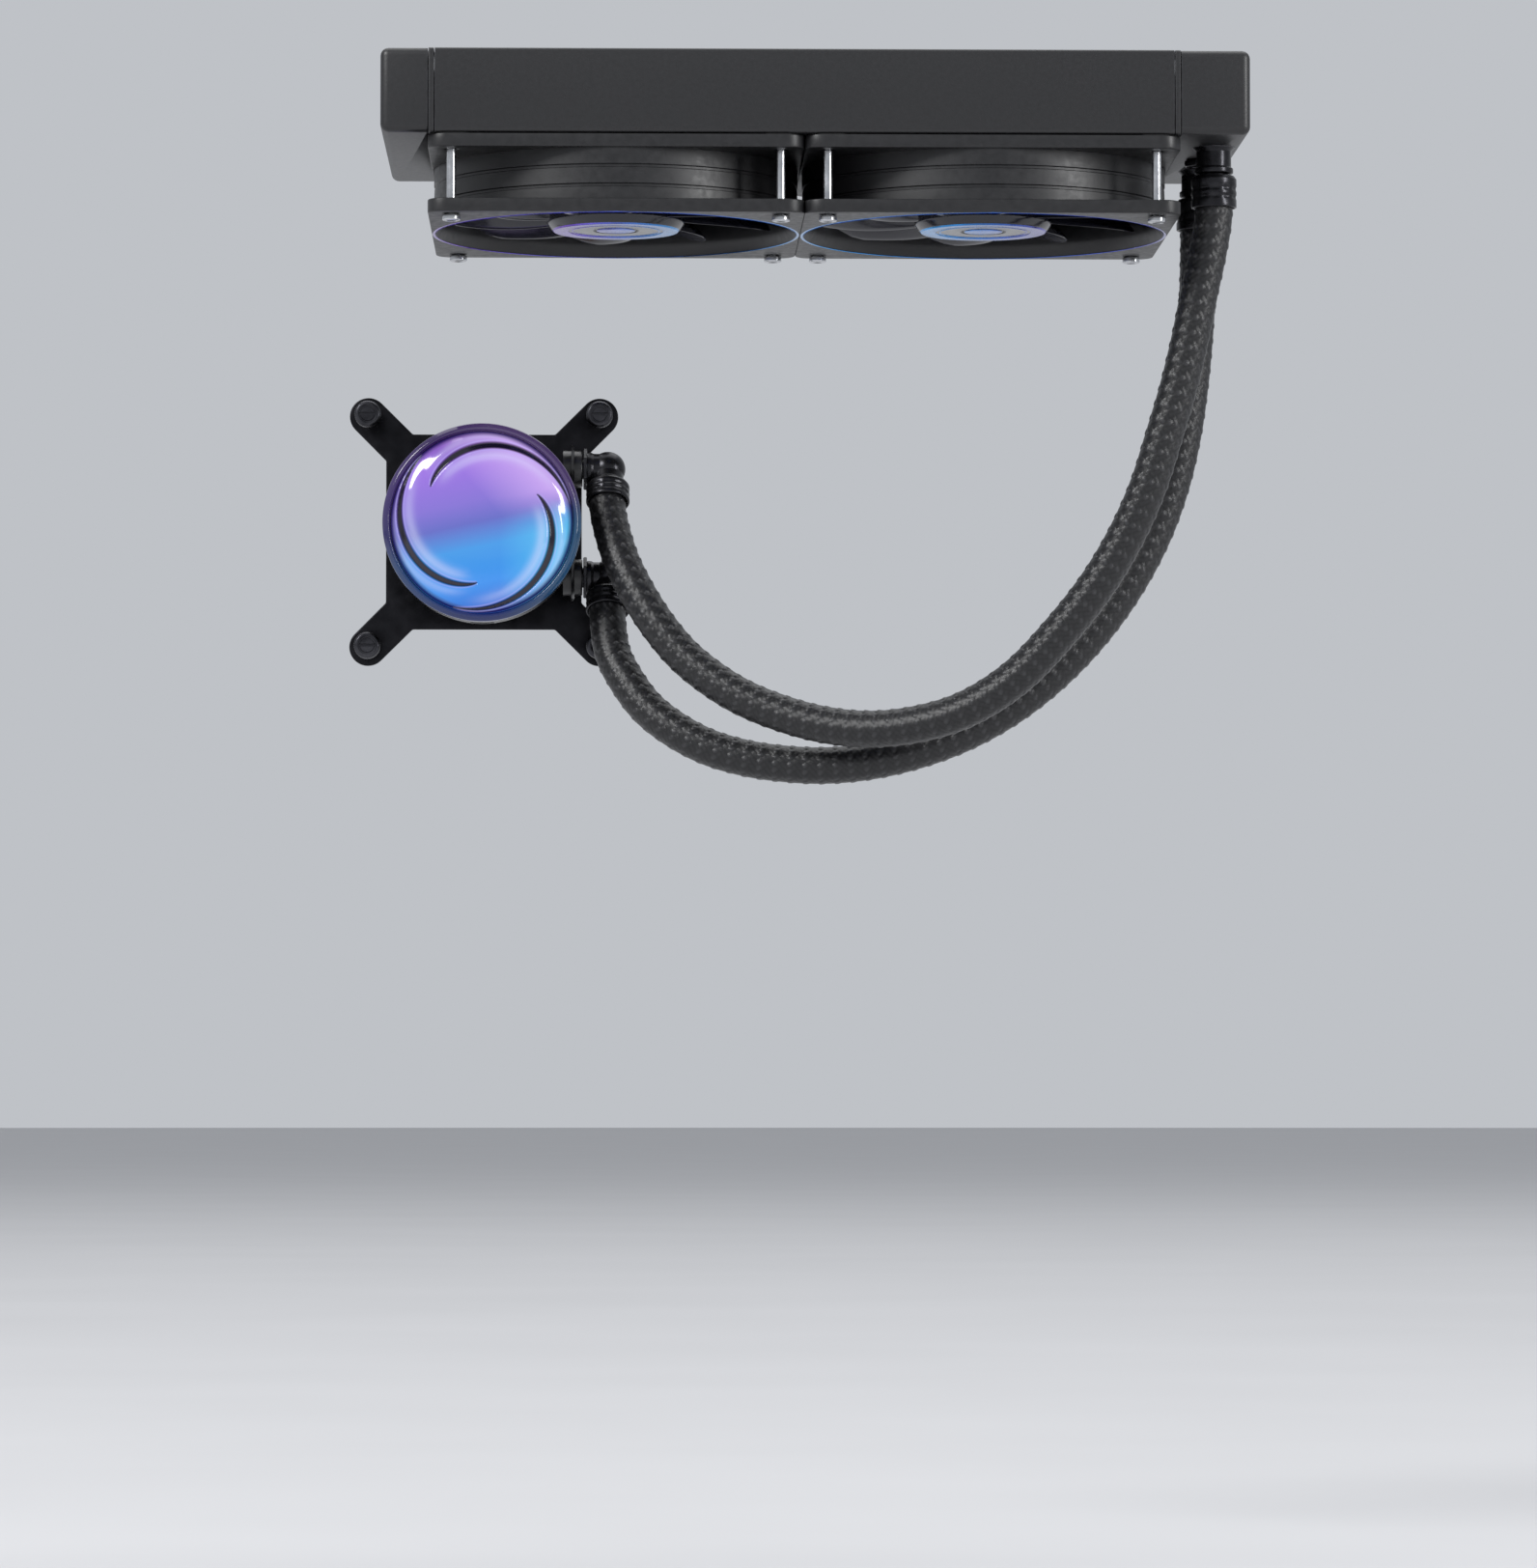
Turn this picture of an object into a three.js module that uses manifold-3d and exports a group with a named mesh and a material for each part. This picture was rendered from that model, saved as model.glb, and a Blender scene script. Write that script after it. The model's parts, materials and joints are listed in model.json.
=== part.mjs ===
// Closed-loop liquid cooler: radiator with two fans, two braided hoses and a lit pump head.
// Millimetres, +Z up. The origin is the centre of the radiator's top mounting plane; +X runs towards the
// tank with the hose ports and +Y towards the circuit board that the pump head clamps on.
import * as THREE from 'three';
import { mergeVertices } from 'three/addons/utils/BufferGeometryUtils.js';
import Module from 'manifold-3d';

const wasm = await Module();
wasm.setup();

// ---------------------------------------------------------------- driving dimensions
const GAP = 0.3; // left between pieces that touch
const RADIATOR = {
  left: -135, right: 142, half: 60, thick: 27,
  leftTank: 15, rightTank: 22, headerThick: 1.7, wall: 1.6, sheet: 1.2,
  flange: 12.6, coreHalf: 46.8, coreTop: -5, coreBottom: -22, tubes: 12, tubeWide: 2,
};
const PORT = { x: 133, y: 28.3, collarR: 5.6, flangeR: 6.25, neckR: 4.6, bore: 2.8 };
const HOSE = { radius: 6.3, sides: 8, steps: 52 };
const SLEEVE = { inner: 6.7, outer: 7.3, long: 13.4 };
const FAN = {
  size: 120, deep: 25, pitch: 105, bottom: -52.3, flange: 4.3, corner: 6,
  throat: 57.2, mouth: 59, barrel: 59.2, hub: 22.5, tip: 56, blades: 9, rest: 13,
  xs: { left: -60, right: 60 },
};
const SCREW = { shank: 1.5, head: 2.9, headTall: 2, long: 30 };
const PUMP = {
  x: -104.3, z: -142.7, contactY: 88, plate: 54, baseR: 31, neckR: 27.3, baseTop: 26,
  shellR: 32.6, shellTop: 43.8, rimR: 33, domeR: 30.2, domeTop: 51.6, chamberR: 13,
};
const BRACKET = { low: 5.4, high: 7.4, hole: 27.6, nut: 39, ear: 6.3, waist: 33 };
const ELBOW = { x: 41.8, height: 19, upper: 20.2, lower: -16.3, lean: 28, ball: 5.9, outlet: 8.1 };
const THUMB = { head: 4.5, low: 12.5, high: 18, shank: 1.9, tail: -4 };

// Points along each hose's centre line, from the radiator port down and round to the pump elbow.
const UPPER_ROUTE = [
  [133, -28.3, -41.8], [132.8, -28.3, -50], [131, -28.3, -61], [128, -27.8, -75], [125, -26.8, -90],
  [121.4, -25.5, -105], [117, -24, -120], [112, -22, -136], [105.5, -19, -151], [96.5, -15.5, -166.5],
  [84.5, -11, -182], [70, -5, -197], [54, 1, -207], [38.5, 7.5, -211.5], [23, 14, -212.8],
  [7.5, 20.5, -210.8], [-8, 26.5, -206], [-19.5, 30.5, -200.7], [-29.5, 34.5, -194], [-38, 38.5, -186.5],
  [-46, 42.4, -176.5], [-53, 47.2, -165], [-58.5, 52.8, -153],
];
const LOWER_ROUTE = [
  [133, 28.3, -41.8], [133, 28.3, -52], [132.6, 28.4, -67], [131.6, 28.5, -83], [130, 28.5, -99],
  [127.6, 28.5, -115], [123.8, 28.5, -131], [118, 28.5, -147], [109.6, 28.5, -163], [98.6, 28.6, -178.6],
  [85.6, 28.8, -192.5], [71, 29, -204.2], [55.5, 29.4, -213], [39.5, 30, -219], [23.7, 31, -222.6],
  [7.8, 32.4, -223.9], [-8, 34.4, -222.8], [-18, 36, -221], [-29, 38.2, -217.6], [-39.5, 41.4, -212],
  [-49.4, 46.2, -204], [-57, 51.8, -193.3], [-60.9, 56.8, -184.8],
];

// ---------------------------------------------------------------- finishes
const FINISH = {
  blackMetal: [0x17181b, 0.42, 0.75],
  finBlack: [0x1d1e21, 0.5, 0.8],
  darkSteel: [0x3a3c40, 0.35, 1],
  steel: [0xb9bcc2, 0.25, 1],
  framePlastic: [0x131417, 0.5, 0],
  bladePlastic: [0x1b1c22, 0.28, 0],
  braid: [0x101012, 0.75, 0],
  fitting: [0x202126, 0.32, 0.85],
  rubber: [0x0d0d0e, 0.8, 0],
  ferrite: [0x2b2a29, 0.7, 0.3],
  winding: [0xa8622c, 0.4, 0.9],
  copper: [0xb5673d, 0.3, 1],
  pumpPlastic: [0x141518, 0.35, 0],
  board: [0x0f2e1c, 0.5, 0],
  glow: [0x7f86ff, 0.3, 0],
  clearCap: [0x8f96e8, 0.1, 0],
  rimTint: [0x2c1a66, 0.12, 0],
  ceramic: [0xe6e4dd, 0.4, 0],
};

function finish(name) {
  const [color, roughness, metalness] = FINISH[name];
  const material = new THREE.MeshStandardMaterial({ color, roughness, metalness });
  material.name = name;
  return material;
}

// ---------------------------------------------------------------- solid helpers
// Welds a geometry, drops slivers without area and turns its faces outwards.
function weld(source) {
  const bare = new THREE.BufferGeometry();
  bare.setAttribute('position', source.getAttribute('position').clone());
  if (source.index) bare.setIndex(source.index.clone());
  const merged = mergeVertices(bare, 1e-4);
  const index = merged.index.array;
  const kept = [];
  for (let i = 0; i < index.length; i += 3) {
    const [a, b, c] = [index[i], index[i + 1], index[i + 2]];
    if (a !== b && b !== c && a !== c) kept.push(a, b, c);
  }
  merged.setIndex(kept);
  return faceOut(merged);
}

function faceOut(geometry) {
  const p = geometry.getAttribute('position');
  const index = Array.from(geometry.index.array);
  const [a, b, c] = [new THREE.Vector3(), new THREE.Vector3(), new THREE.Vector3()];
  let volume = 0;
  for (let i = 0; i < index.length; i += 3) {
    a.fromBufferAttribute(p, index[i]);
    b.fromBufferAttribute(p, index[i + 1]);
    c.fromBufferAttribute(p, index[i + 2]);
    volume += a.dot(b.cross(c));
  }
  if (volume < 0) {
    for (let i = 0; i < index.length; i += 3) {
      [index[i + 1], index[i + 2]] = [index[i + 2], index[i + 1]];
    }
    geometry.setIndex(index);
  }
  return geometry;
}

function solid(geometry) {
  const g = weld(geometry);
  return new wasm.Manifold(new wasm.Mesh({
    numProp: 3,
    vertProperties: new Float32Array(g.getAttribute('position').array),
    triVerts: new Uint32Array(g.index.array),
  }));
}

function surface(manifold) {
  const mesh = manifold.getMesh();
  const g = new THREE.BufferGeometry();
  g.setAttribute('position', new THREE.BufferAttribute(new Float32Array(mesh.vertProperties), 3));
  g.setIndex(Array.from(mesh.triVerts));
  return g;
}

function shaped(add, cut = []) {
  let body = solid(add[0]);
  for (const g of add.slice(1)) body = body.add(solid(g));
  for (const g of cut) body = body.subtract(solid(g));
  return surface(body);
}

function block(x0, x1, y0, y1, z0, z1) {
  const g = new THREE.BoxGeometry(x1 - x0, y1 - y0, z1 - z0);
  return g.translate((x0 + x1) / 2, (y0 + y1) / 2, (z0 + z1) / 2);
}

// Round bar along Z.
function rod(r, z0, z1, x = 0, y = 0, sides = 16) {
  const g = new THREE.CylinderGeometry(r, r, z1 - z0, sides);
  return g.rotateX(Math.PI / 2).translate(x, y, (z0 + z1) / 2);
}

// Body of revolution about Z from [radius, z] points that run round the section.
function turned(profile, sides = 40) {
  const points = profile.map(([r, z]) => new THREE.Vector2(r, z));
  const onAxis = profile[0][0] === 0 && profile[profile.length - 1][0] === 0;
  if (!onAxis) points.push(points[0].clone());
  return weld(new THREE.LatheGeometry(points, sides).rotateX(Math.PI / 2));
}

function ring(inner, outer, z0, z1, sides = 28) {
  return turned([[inner, z0], [outer, z0], [outer, z1], [inner, z1]], sides);
}

function roundedShape(wide, tall, r) {
  const [x, y] = [wide / 2, tall / 2];
  const s = new THREE.Shape();
  s.moveTo(-x + r, -y);
  s.lineTo(x - r, -y);
  s.absarc(x - r, -y + r, r, -Math.PI / 2, 0);
  s.lineTo(x, y - r);
  s.absarc(x - r, y - r, r, 0, Math.PI / 2);
  s.lineTo(-x + r, y);
  s.absarc(-x + r, y - r, r, Math.PI / 2, Math.PI);
  s.lineTo(-x, -y + r);
  s.absarc(-x + r, -y + r, r, Math.PI, Math.PI * 1.5);
  return s;
}

function slab(shape, z0, z1, curveSegments = 3) {
  const g = new THREE.ExtrudeGeometry(shape, { depth: z1 - z0, bevelEnabled: false, curveSegments });
  return g.translate(0, 0, z0);
}

// Closed skin through equal rings of points, capped at both ends. Each side face is split along its shorter
// diagonal, so that the two skins of a thin blade don't cross.
function loft(rings) {
  const count = rings[0].length;
  const flat = rings.flat();
  const index = [];
  for (let i = 0; i + 1 < rings.length; i += 1) {
    for (let j = 0; j < count; j += 1) {
      const [a, b] = [i * count + j, i * count + (j + 1) % count];
      const [c, d] = [b + count, a + count];
      if (flat[a].distanceTo(flat[c]) < flat[b].distanceTo(flat[d])) index.push(a, b, c, a, c, d);
      else index.push(a, b, d, b, c, d);
    }
  }
  for (const [ringStart, flip] of [[0, true], [(rings.length - 1) * count, false]]) {
    for (let j = 1; j + 1 < count; j += 1) {
      const [b, c] = flip ? [j + 1, j] : [j, j + 1];
      index.push(ringStart, ringStart + b, ringStart + c);
    }
  }
  const g = new THREE.BufferGeometry();
  const xyz = flat.flatMap((v) => [v.x, v.y, v.z]);
  g.setAttribute('position', new THREE.Float32BufferAttribute(xyz, 3));
  g.setIndex(index);
  return faceOut(g);
}

// Solid of round section along a curve.
function piped(curve, r, sides, steps) {
  const section = new THREE.Shape();
  for (let i = 0; i < sides; i += 1) {
    const a = (i / sides) * Math.PI * 2;
    const [x, y] = [r * Math.cos(a), r * Math.sin(a)];
    if (i === 0) section.moveTo(x, y);
    else section.lineTo(x, y);
  }
  return new THREE.ExtrudeGeometry(section, { steps, bevelEnabled: false, extrudePath: curve });
}

function around(count, make) {
  return Array.from({ length: count }, (_, i) => make((i / count) * Math.PI * 2, i));
}

function piece(group, name, look, geometry) {
  const g = weld(geometry);
  g.computeVertexNormals();
  const mesh = new THREE.Mesh(g, finish(look));
  mesh.name = name;
  group.add(mesh);
  return mesh;
}

// ---------------------------------------------------------------- radiator
const SCREW_XS = [-112.5, -7.5, 7.5, 112.5];
const SCREW_Y = FAN.pitch / 2;
const HEADER_X = 120; // where each end tank meets its header plate

function radiatorCore() {
  const { coreHalf, coreTop, coreBottom, tubes, tubeWide } = RADIATOR;
  const reach = HEADER_X - RADIATOR.headerThick - 2 * GAP;
  const pitch = (2 * coreHalf - tubeWide) / (tubes - 1);
  const middle = (coreTop + coreBottom) / 2;
  const parts = [block(-reach, reach, -coreHalf, coreHalf, middle - 0.5, middle + 0.5)];
  for (let i = 0; i < tubes; i += 1) {
    const y = -coreHalf + i * pitch;
    parts.push(block(-reach, reach, y, y + tubeWide, coreBottom, coreTop));
  }
  return shaped(parts);
}

function headerPlate(side) {
  const { half, thick, headerThick, coreHalf, tubes, tubeWide } = RADIATOR;
  const [near, far] = [HEADER_X - GAP - headerThick, HEADER_X - GAP];
  const [x0, x1] = side < 0 ? [-far, -near] : [near, far];
  const pitch = (2 * coreHalf - tubeWide) / (tubes - 1);
  const slots = [];
  for (let i = 0; i < tubes; i += 1) {
    const y = -coreHalf + i * pitch;
    slots.push(block(x0 - 1, x1 + 1, y + 0.4, y + tubeWide - 0.4, -21, -6));
  }
  return shaped([block(x0, x1, -half, half, -thick, 0)], slots);
}

function endTank(side) {
  const { left, right, half, thick, wall, leftTank, rightTank } = RADIATOR;
  const long = side < 0 ? leftTank : rightTank;
  const bevel = 2;
  const shape = roundedShape(2 * half - 2 * bevel, thick - 2 * bevel, 1.6);
  const options = { depth: long, bevelEnabled: true, bevelThickness: bevel, bevelSize: bevel,
    bevelSegments: 2, curveSegments: 2 };
  const outer = new THREE.ExtrudeGeometry(shape, options);
  // The extrusion's Z becomes the outward X direction; its first bevel is trimmed off at the header.
  outer.rotateY(Math.PI / 2).rotateX(Math.PI / 2);
  if (side < 0) outer.rotateZ(Math.PI);
  const end = side < 0 ? left : right;
  outer.translate(end - side * (long + bevel), 0, -thick / 2);
  const trim = side < 0 ? block(-HEADER_X, -100, -70, 70, -40, 10) : block(100, HEADER_X, -70, 70, -40, 10);
  const inside = end - side * wall;
  const [from, to] = side < 0 ? [inside, 1 - HEADER_X] : [HEADER_X - 1, inside];
  const hollow = block(from, to, -half + 2.2, half - 2.2, -thick + wall, -wall);
  const holes = side < 0 ? [] : [
    rod(PORT.neckR, -30, -24, PORT.x, -PORT.y),
    rod(PORT.neckR, -30, -24, PORT.x, PORT.y),
    rod(3.4, -30, -24, PORT.x - 2, 0),
  ];
  return shaped([outer], [trim, hollow, ...holes]);
}

function sideFrame(side) {
  const { half, thick, sheet, flange } = RADIATOR;
  const reach = HEADER_X - RADIATOR.headerThick - 2 * GAP;
  const y = (a, b) => (side < 0 ? [-b, -a] : [a, b]);
  const holes = [];
  for (const x of SCREW_XS) {
    holes.push(rod(2.1, -thick - 1, -thick + sheet + 1, x, side * SCREW_Y, 12));
    holes.push(rod(2.1, -sheet - 1, 1, x, side * SCREW_Y, 12));
  }
  return shaped([
    block(-reach, reach, ...y(half - sheet, half), -thick, 0),
    block(-reach, reach, ...y(half - flange, half), -sheet, 0),
    block(-reach, reach, ...y(half - flange, half), -thick, -thick + sheet),
  ], holes);
}

function fillPlug() {
  const x = PORT.x - 2;
  const head = turned([[0, -29.3], [4.4, -29.3], [5, -28.7], [5, -27.3], [3, -27.3], [3, -24.4], [0, -24.4]], 16);
  const hex = new THREE.CylinderGeometry(2, 2, 3, 6).rotateX(Math.PI / 2).translate(0, 0, -29.8);
  return shaped([head], [hex]).translate(x, 0, 0);
}

function hosePort(y) {
  const { collarR, flangeR, neckR, bore } = PORT;
  const profile = [
    [bore, -41.5], [neckR, -41.5], [neckR, -35.6], [flangeR, -35.3], [flangeR, -33.9], [collarR, -33.4],
    [collarR, -27.8], [collarR - 0.5, -27.3], [4.2, -27.3], [4.2, -24.6], [bore, -24.6],
  ];
  return turned(profile, 18).translate(PORT.x, y, 0);
}

// The collar grips the port's neck above and reaches over the end of the hose below.
function hoseCollar(y) {
  const profile = [
    [SLEEVE.inner, -46.6], [SLEEVE.outer, -46.6], [SLEEVE.outer, -37], [6.3, -36.2], [4.9, -36.2],
    [4.9, -41.4], [SLEEVE.inner, -41.4],
  ];
  return turned(profile, 18).translate(PORT.x, y, 0);
}

function addRadiator(parent) {
  const group = new THREE.Group();
  group.name = 'radiator';
  piece(group, 'radiator_core', 'finBlack', radiatorCore());
  piece(group, 'header_plate_left', 'blackMetal', headerPlate(-1));
  piece(group, 'header_plate_right', 'blackMetal', headerPlate(1));
  piece(group, 'end_tank_left', 'blackMetal', endTank(-1));
  piece(group, 'end_tank_right', 'blackMetal', endTank(1));
  piece(group, 'side_frame_front', 'blackMetal', sideFrame(-1));
  piece(group, 'side_frame_back', 'blackMetal', sideFrame(1));
  piece(group, 'fill_plug', 'fitting', fillPlug());
  piece(group, 'port_front', 'fitting', hosePort(-PORT.y));
  piece(group, 'port_back', 'fitting', hosePort(PORT.y));
  piece(group, 'hose_collar_front', 'fitting', hoseCollar(-PORT.y));
  piece(group, 'hose_collar_back', 'fitting', hoseCollar(PORT.y));
  parent.add(group);
}

// ---------------------------------------------------------------- fans
// Fan pieces stand in a local frame: Z 0 is the intake face, Z 25 the face against the radiator.
function fanFrame() {
  const { size, deep, flange, corner, throat, mouth, barrel } = FAN;
  const plate = roundedShape(size, size, corner);
  const add = [slab(plate, 0, flange), slab(plate, deep - flange, deep)];
  add.push(ring(50, barrel, 1, 24, 36));
  const air = turned([
    [0, -1], [mouth, -1], [mouth, 0], [throat, 4.5], [throat, 21], [mouth - 0.6, 25.5], [0, 25.5],
  ], 36);
  const holes = [];
  for (const x of [-1, 1]) {
    for (const y of [-1, 1]) holes.push(rod(2.1, -1, deep + 1, x * SCREW_Y, y * SCREW_Y, 12));
  }
  let body = solid(shaped(add, [air, ...holes]));
  const hubPlate = [rod(23, 22.6, deep, 0, 0, 24), rod(5, 8, 23, 0, 0, 16)];
  const struts = around(4, (a) => block(20, 58.6, -2, 2, 22.2, deep - 0.2).rotateZ(a + 0.5));
  for (const g of [...hubPlate, ...struts]) body = body.add(solid(g));
  body = body.subtract(solid(rod(4, 7, 23.6, 0, 0, 16)));
  return surface(body);
}

// One fan blade: sections of a cambered plate from the hub wall out to the tip.
function fanBlade(turn) {
  const rings = [];
  const sections = 5;
  const across = 2;
  for (let i = 0; i <= sections; i += 1) {
    const f = i / sections;
    const r = FAN.hub - 0.4 + f * (FAN.tip - FAN.hub + 0.4);
    const pitch = THREE.MathUtils.degToRad(48 - 22 * f);
    const chord = 19 + 15 * f;
    const half = 1.1 - 0.3 * f;
    const lead = turn + 0.42 * f * f;
    const upper = [];
    const lower = [];
    for (let j = 0; j <= across; j += 1) {
      const u = j / across - 0.5;
      const bow = 2.2 * (0.25 - u * u);
      const along = u * chord * Math.cos(pitch) - bow * Math.sin(pitch);
      const z = 11.2 + u * chord * Math.sin(pitch) + bow * Math.cos(pitch);
      const slim = half * (1 - 1.5 * u * u);
      const a = lead + along / r;
      const shift = (slim * Math.sin(pitch)) / r;
      upper.push(new THREE.Vector3(r * Math.cos(a - shift), r * Math.sin(a - shift), z + slim * Math.cos(pitch)));
      lower.push(new THREE.Vector3(r * Math.cos(a + shift), r * Math.sin(a + shift), z - slim * Math.cos(pitch)));
    }
    rings.push([...upper, ...lower.reverse()]);
  }
  return loft(rings);
}

function fanRotor() {
  const cup = turned([
    [0, 1.3], [20.8, 1.3], [FAN.hub, 3.4], [FAN.hub, 20.4], [21.1, 20.4], [21.1, 3.4], [3.2, 3.4],
    [3.2, 6.4], [1.8, 6.4], [1.8, 2.9], [0, 2.9],
  ], 28);
  return shaped([cup, ...around(FAN.blades, fanBlade)]).rotateZ(THREE.MathUtils.degToRad(FAN.rest));
}

function fanStator() {
  const arms = around(4, (a) => block(4, 16, -2.6, 2.6, 9, 18.4).rotateZ(a));
  const shoes = around(4, (a) => block(15.4, 17.4, -6, 6, 9.6, 17.8).rotateZ(a));
  return shaped([rod(8.4, 9, 18.4), ...arms, ...shoes], [rod(5.4, 5, 22)]);
}

function fanScrew(x, y) {
  const { shank, head, headTall, long } = SCREW;
  const body = turned([
    [0, -GAP - headTall], [head - 0.9, -GAP - headTall], [head, -GAP - headTall + 0.7], [head, -GAP],
    [shank, -GAP], [shank, long - 0.1], [0, long - 0.1],
  ], 10);
  const socket = rod(1.3, -GAP - headTall - 1, -GAP - headTall + 1.2, 0, 0, 6);
  return shaped([body], [socket]).translate(x, y, 0);
}

function addFan(parent, side) {
  const group = new THREE.Group();
  group.name = `fan_${side}`;
  group.position.set(FAN.xs[side], 0, FAN.bottom);
  const at = (name) => `fan_${side}_${name}`;
  piece(group, at('frame'), 'framePlastic', fanFrame());
  piece(group, at('rotor'), 'bladePlastic', fanRotor());
  piece(group, at('magnet_ring'), 'ferrite', ring(19, 20.7, 5, 19.8, 32));
  piece(group, at('shaft'), 'steel', rod(1.4, 3.2, 22.6, 0, 0, 12));
  piece(group, at('bearing'), 'winding', ring(1.7, 3.6, 8.4, 23.2, 16));
  piece(group, at('stator'), 'winding', fanStator());
  const corners = [[-1, -1], [1, -1], [1, 1], [-1, 1]];
  corners.forEach(([x, y], i) => {
    piece(group, at(`screw_${i + 1}`), 'steel', fanScrew(x * SCREW_Y, y * SCREW_Y));
  });
  parent.add(group);
}

// ---------------------------------------------------------------- pump head
// Pump pieces stand in a local frame: Z 0 is the contact face and +Z points away from the circuit board.
function coldPlate() {
  const plate = slab(roundedShape(PUMP.plate, PUMP.plate, 5), 0, 3.2);
  const fins = Array.from({ length: 9 }, (_, i) => block(-8.8 + i * 2.1, -8 + i * 2.1, -8.8, 8.8, 3, 4.9));
  return shaped([plate, ...fins]);
}

function coldPlateSeal() {
  const outer = slab(roundedShape(46, 46, 6), 3.5, 4.3);
  return shaped([outer], [slab(roundedShape(42, 42, 5), 3, 5)]);
}

function pumpBase() {
  const { baseR, neckR, baseTop, chamberR } = PUMP;
  const body = turned([
    [0, 4.6], [neckR, 4.6], [neckR, 7.7], [baseR - 1, 7.7], [baseR, 8.7], [baseR, baseTop], [0, baseTop],
  ], 36);
  const add = [body];
  const cut = [
    rod(chamberR, 4, 10.9, 0, 0, 28), rod(10.9, 10, 15, 0, 0, 28), rod(20, 14.2, 27, 0, 0, 28),
  ];
  for (const y of [ELBOW.upper, ELBOW.lower]) {
    const boss = rod(6.2, 20, 33.3, 0, 0, 20).rotateY(Math.PI / 2).translate(0, y, ELBOW.height);
    const bore = rod(3.9, 26.4, 34, 0, 0, 20).rotateY(Math.PI / 2).translate(0, y, ELBOW.height);
    add.push(boss);
    cut.push(bore);
  }
  return shaped(add, cut);
}

function impeller() {
  const disc = rod(11.6, 7.6, 9.4, 0, 0, 24);
  const vanes = around(6, (a) => {
    const rings = [];
    for (let i = 0; i <= 3; i += 1) {
      const r = 3 + i * 2.8;
      const swing = a + 0.21 * i;
      const wide = 0.5 / r;
      const at = (angle, z) => new THREE.Vector3(r * Math.cos(angle), r * Math.sin(angle), z);
      rings.push([at(swing - wide, 5.5), at(swing + wide, 5.5), at(swing + wide, 8), at(swing - wide, 8)]);
    }
    return loft(rings);
  });
  return shaped([disc, rod(3.6, 5.5, 9.4), ...vanes], [rod(1.4, 5, 10)]);
}

function rotorCan() {
  return turned([
    [9.6, 9.9], [12.6, 9.9], [12.6, 10.6], [10.4, 10.6], [10.4, 22.8], [0, 22.8], [0, 22.1], [9.6, 22.1],
  ], 28);
}

function pumpStator() {
  const core = ring(10.8, 13, 14.6, 21.8, 28);
  const coils = around(6, (a) => block(12.4, 18.2, -3, 3, 14.6, 21).rotateZ(a));
  return shaped([core, ...coils]);
}

function pumpBoard() {
  const board = ring(13, 28, 28.4, 30, 28);
  const lamps = around(8, (a) => block(22, 25, -1.5, 1.5, 29.7, 31.1).rotateZ(a));
  const chips = [block(14.5, 19.5, -3, 3, 29.7, 31.2), block(-19, -15, -2, 2, 29.7, 31.6)];
  return shaped([board, ...lamps, ...chips]);
}

function pumpShell() {
  const { shellR, shellTop, baseTop } = PUMP;
  const body = turned([
    [27.4, baseTop + GAP], [30.8, baseTop + GAP], [shellR, baseTop + 3], [shellR, shellTop],
    [29.8, shellTop], [29.8, 38.2], [28.4, 38.2], [28.4, 28.1], [27.4, 28.1],
  ], 36);
  // Slot for the lead's outlet on the lower side.
  return shaped([body], [block(-4, 4, -36, -24, 31, 34.5)]);
}

function lightGuide() {
  return turned([[0, 38.8], [28, 38.8], [28, 38.5], [29.4, 38.5], [29.4, 40.9], [0, 40.9]], 32);
}

// Height of the cap's outer skin above the contact face.
function capHeight(r) {
  const f = Math.min(1, r / PUMP.domeR);
  return PUMP.domeTop - 1.6 * f ** 2 - 3.2 * f ** 8;
}

// A swirl groove that winds outwards through half a turn; it is widest in the middle.
function swirlGroove(start) {
  const rings = [];
  const steps = 8;
  for (let i = 0; i <= steps; i += 1) {
    const f = i / steps;
    const a = start - f * 2.5;
    const r = 20.4 + 7.8 * f ** 0.8;
    const wide = 0.25 + 1.15 * Math.sin(Math.PI * Math.min(1, 1.08 * f + 0.02)) ** 0.7;
    const z = capHeight(r) + 0.25;
    const section = [];
    for (let j = 0; j < 5; j += 1) {
      const b = (j / 5) * Math.PI * 2;
      const rr = r + wide * Math.cos(b);
      section.push(new THREE.Vector3(rr * Math.cos(a), rr * Math.sin(a), z + wide * Math.sin(b)));
    }
    rings.push(section);
  }
  return loft(rings);
}

function domeCover() {
  const edge = [];
  for (const r of [30.2, 28.6, 25.5, 19, 9, 0]) edge.push([r, capHeight(r)]);
  const body = turned([[0, 41.2], [29.4, 41.2], [29.4, 44.4], [PUMP.domeR, 44.4], ...edge], 36);
  const starts = around(3, (a) => a + 2.5);
  return shaped([body], starts.map(swirlGroove));
}

function rimRing() {
  const { rimR, shellTop } = PUMP;
  const low = shellTop + GAP;
  return turned([
    [30.6, low], [rimR, low], [rimR, low + 2.4], [rimR - 1, low + 3.6], [30.6, low + 3.9],
  ], 36);
}

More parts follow.
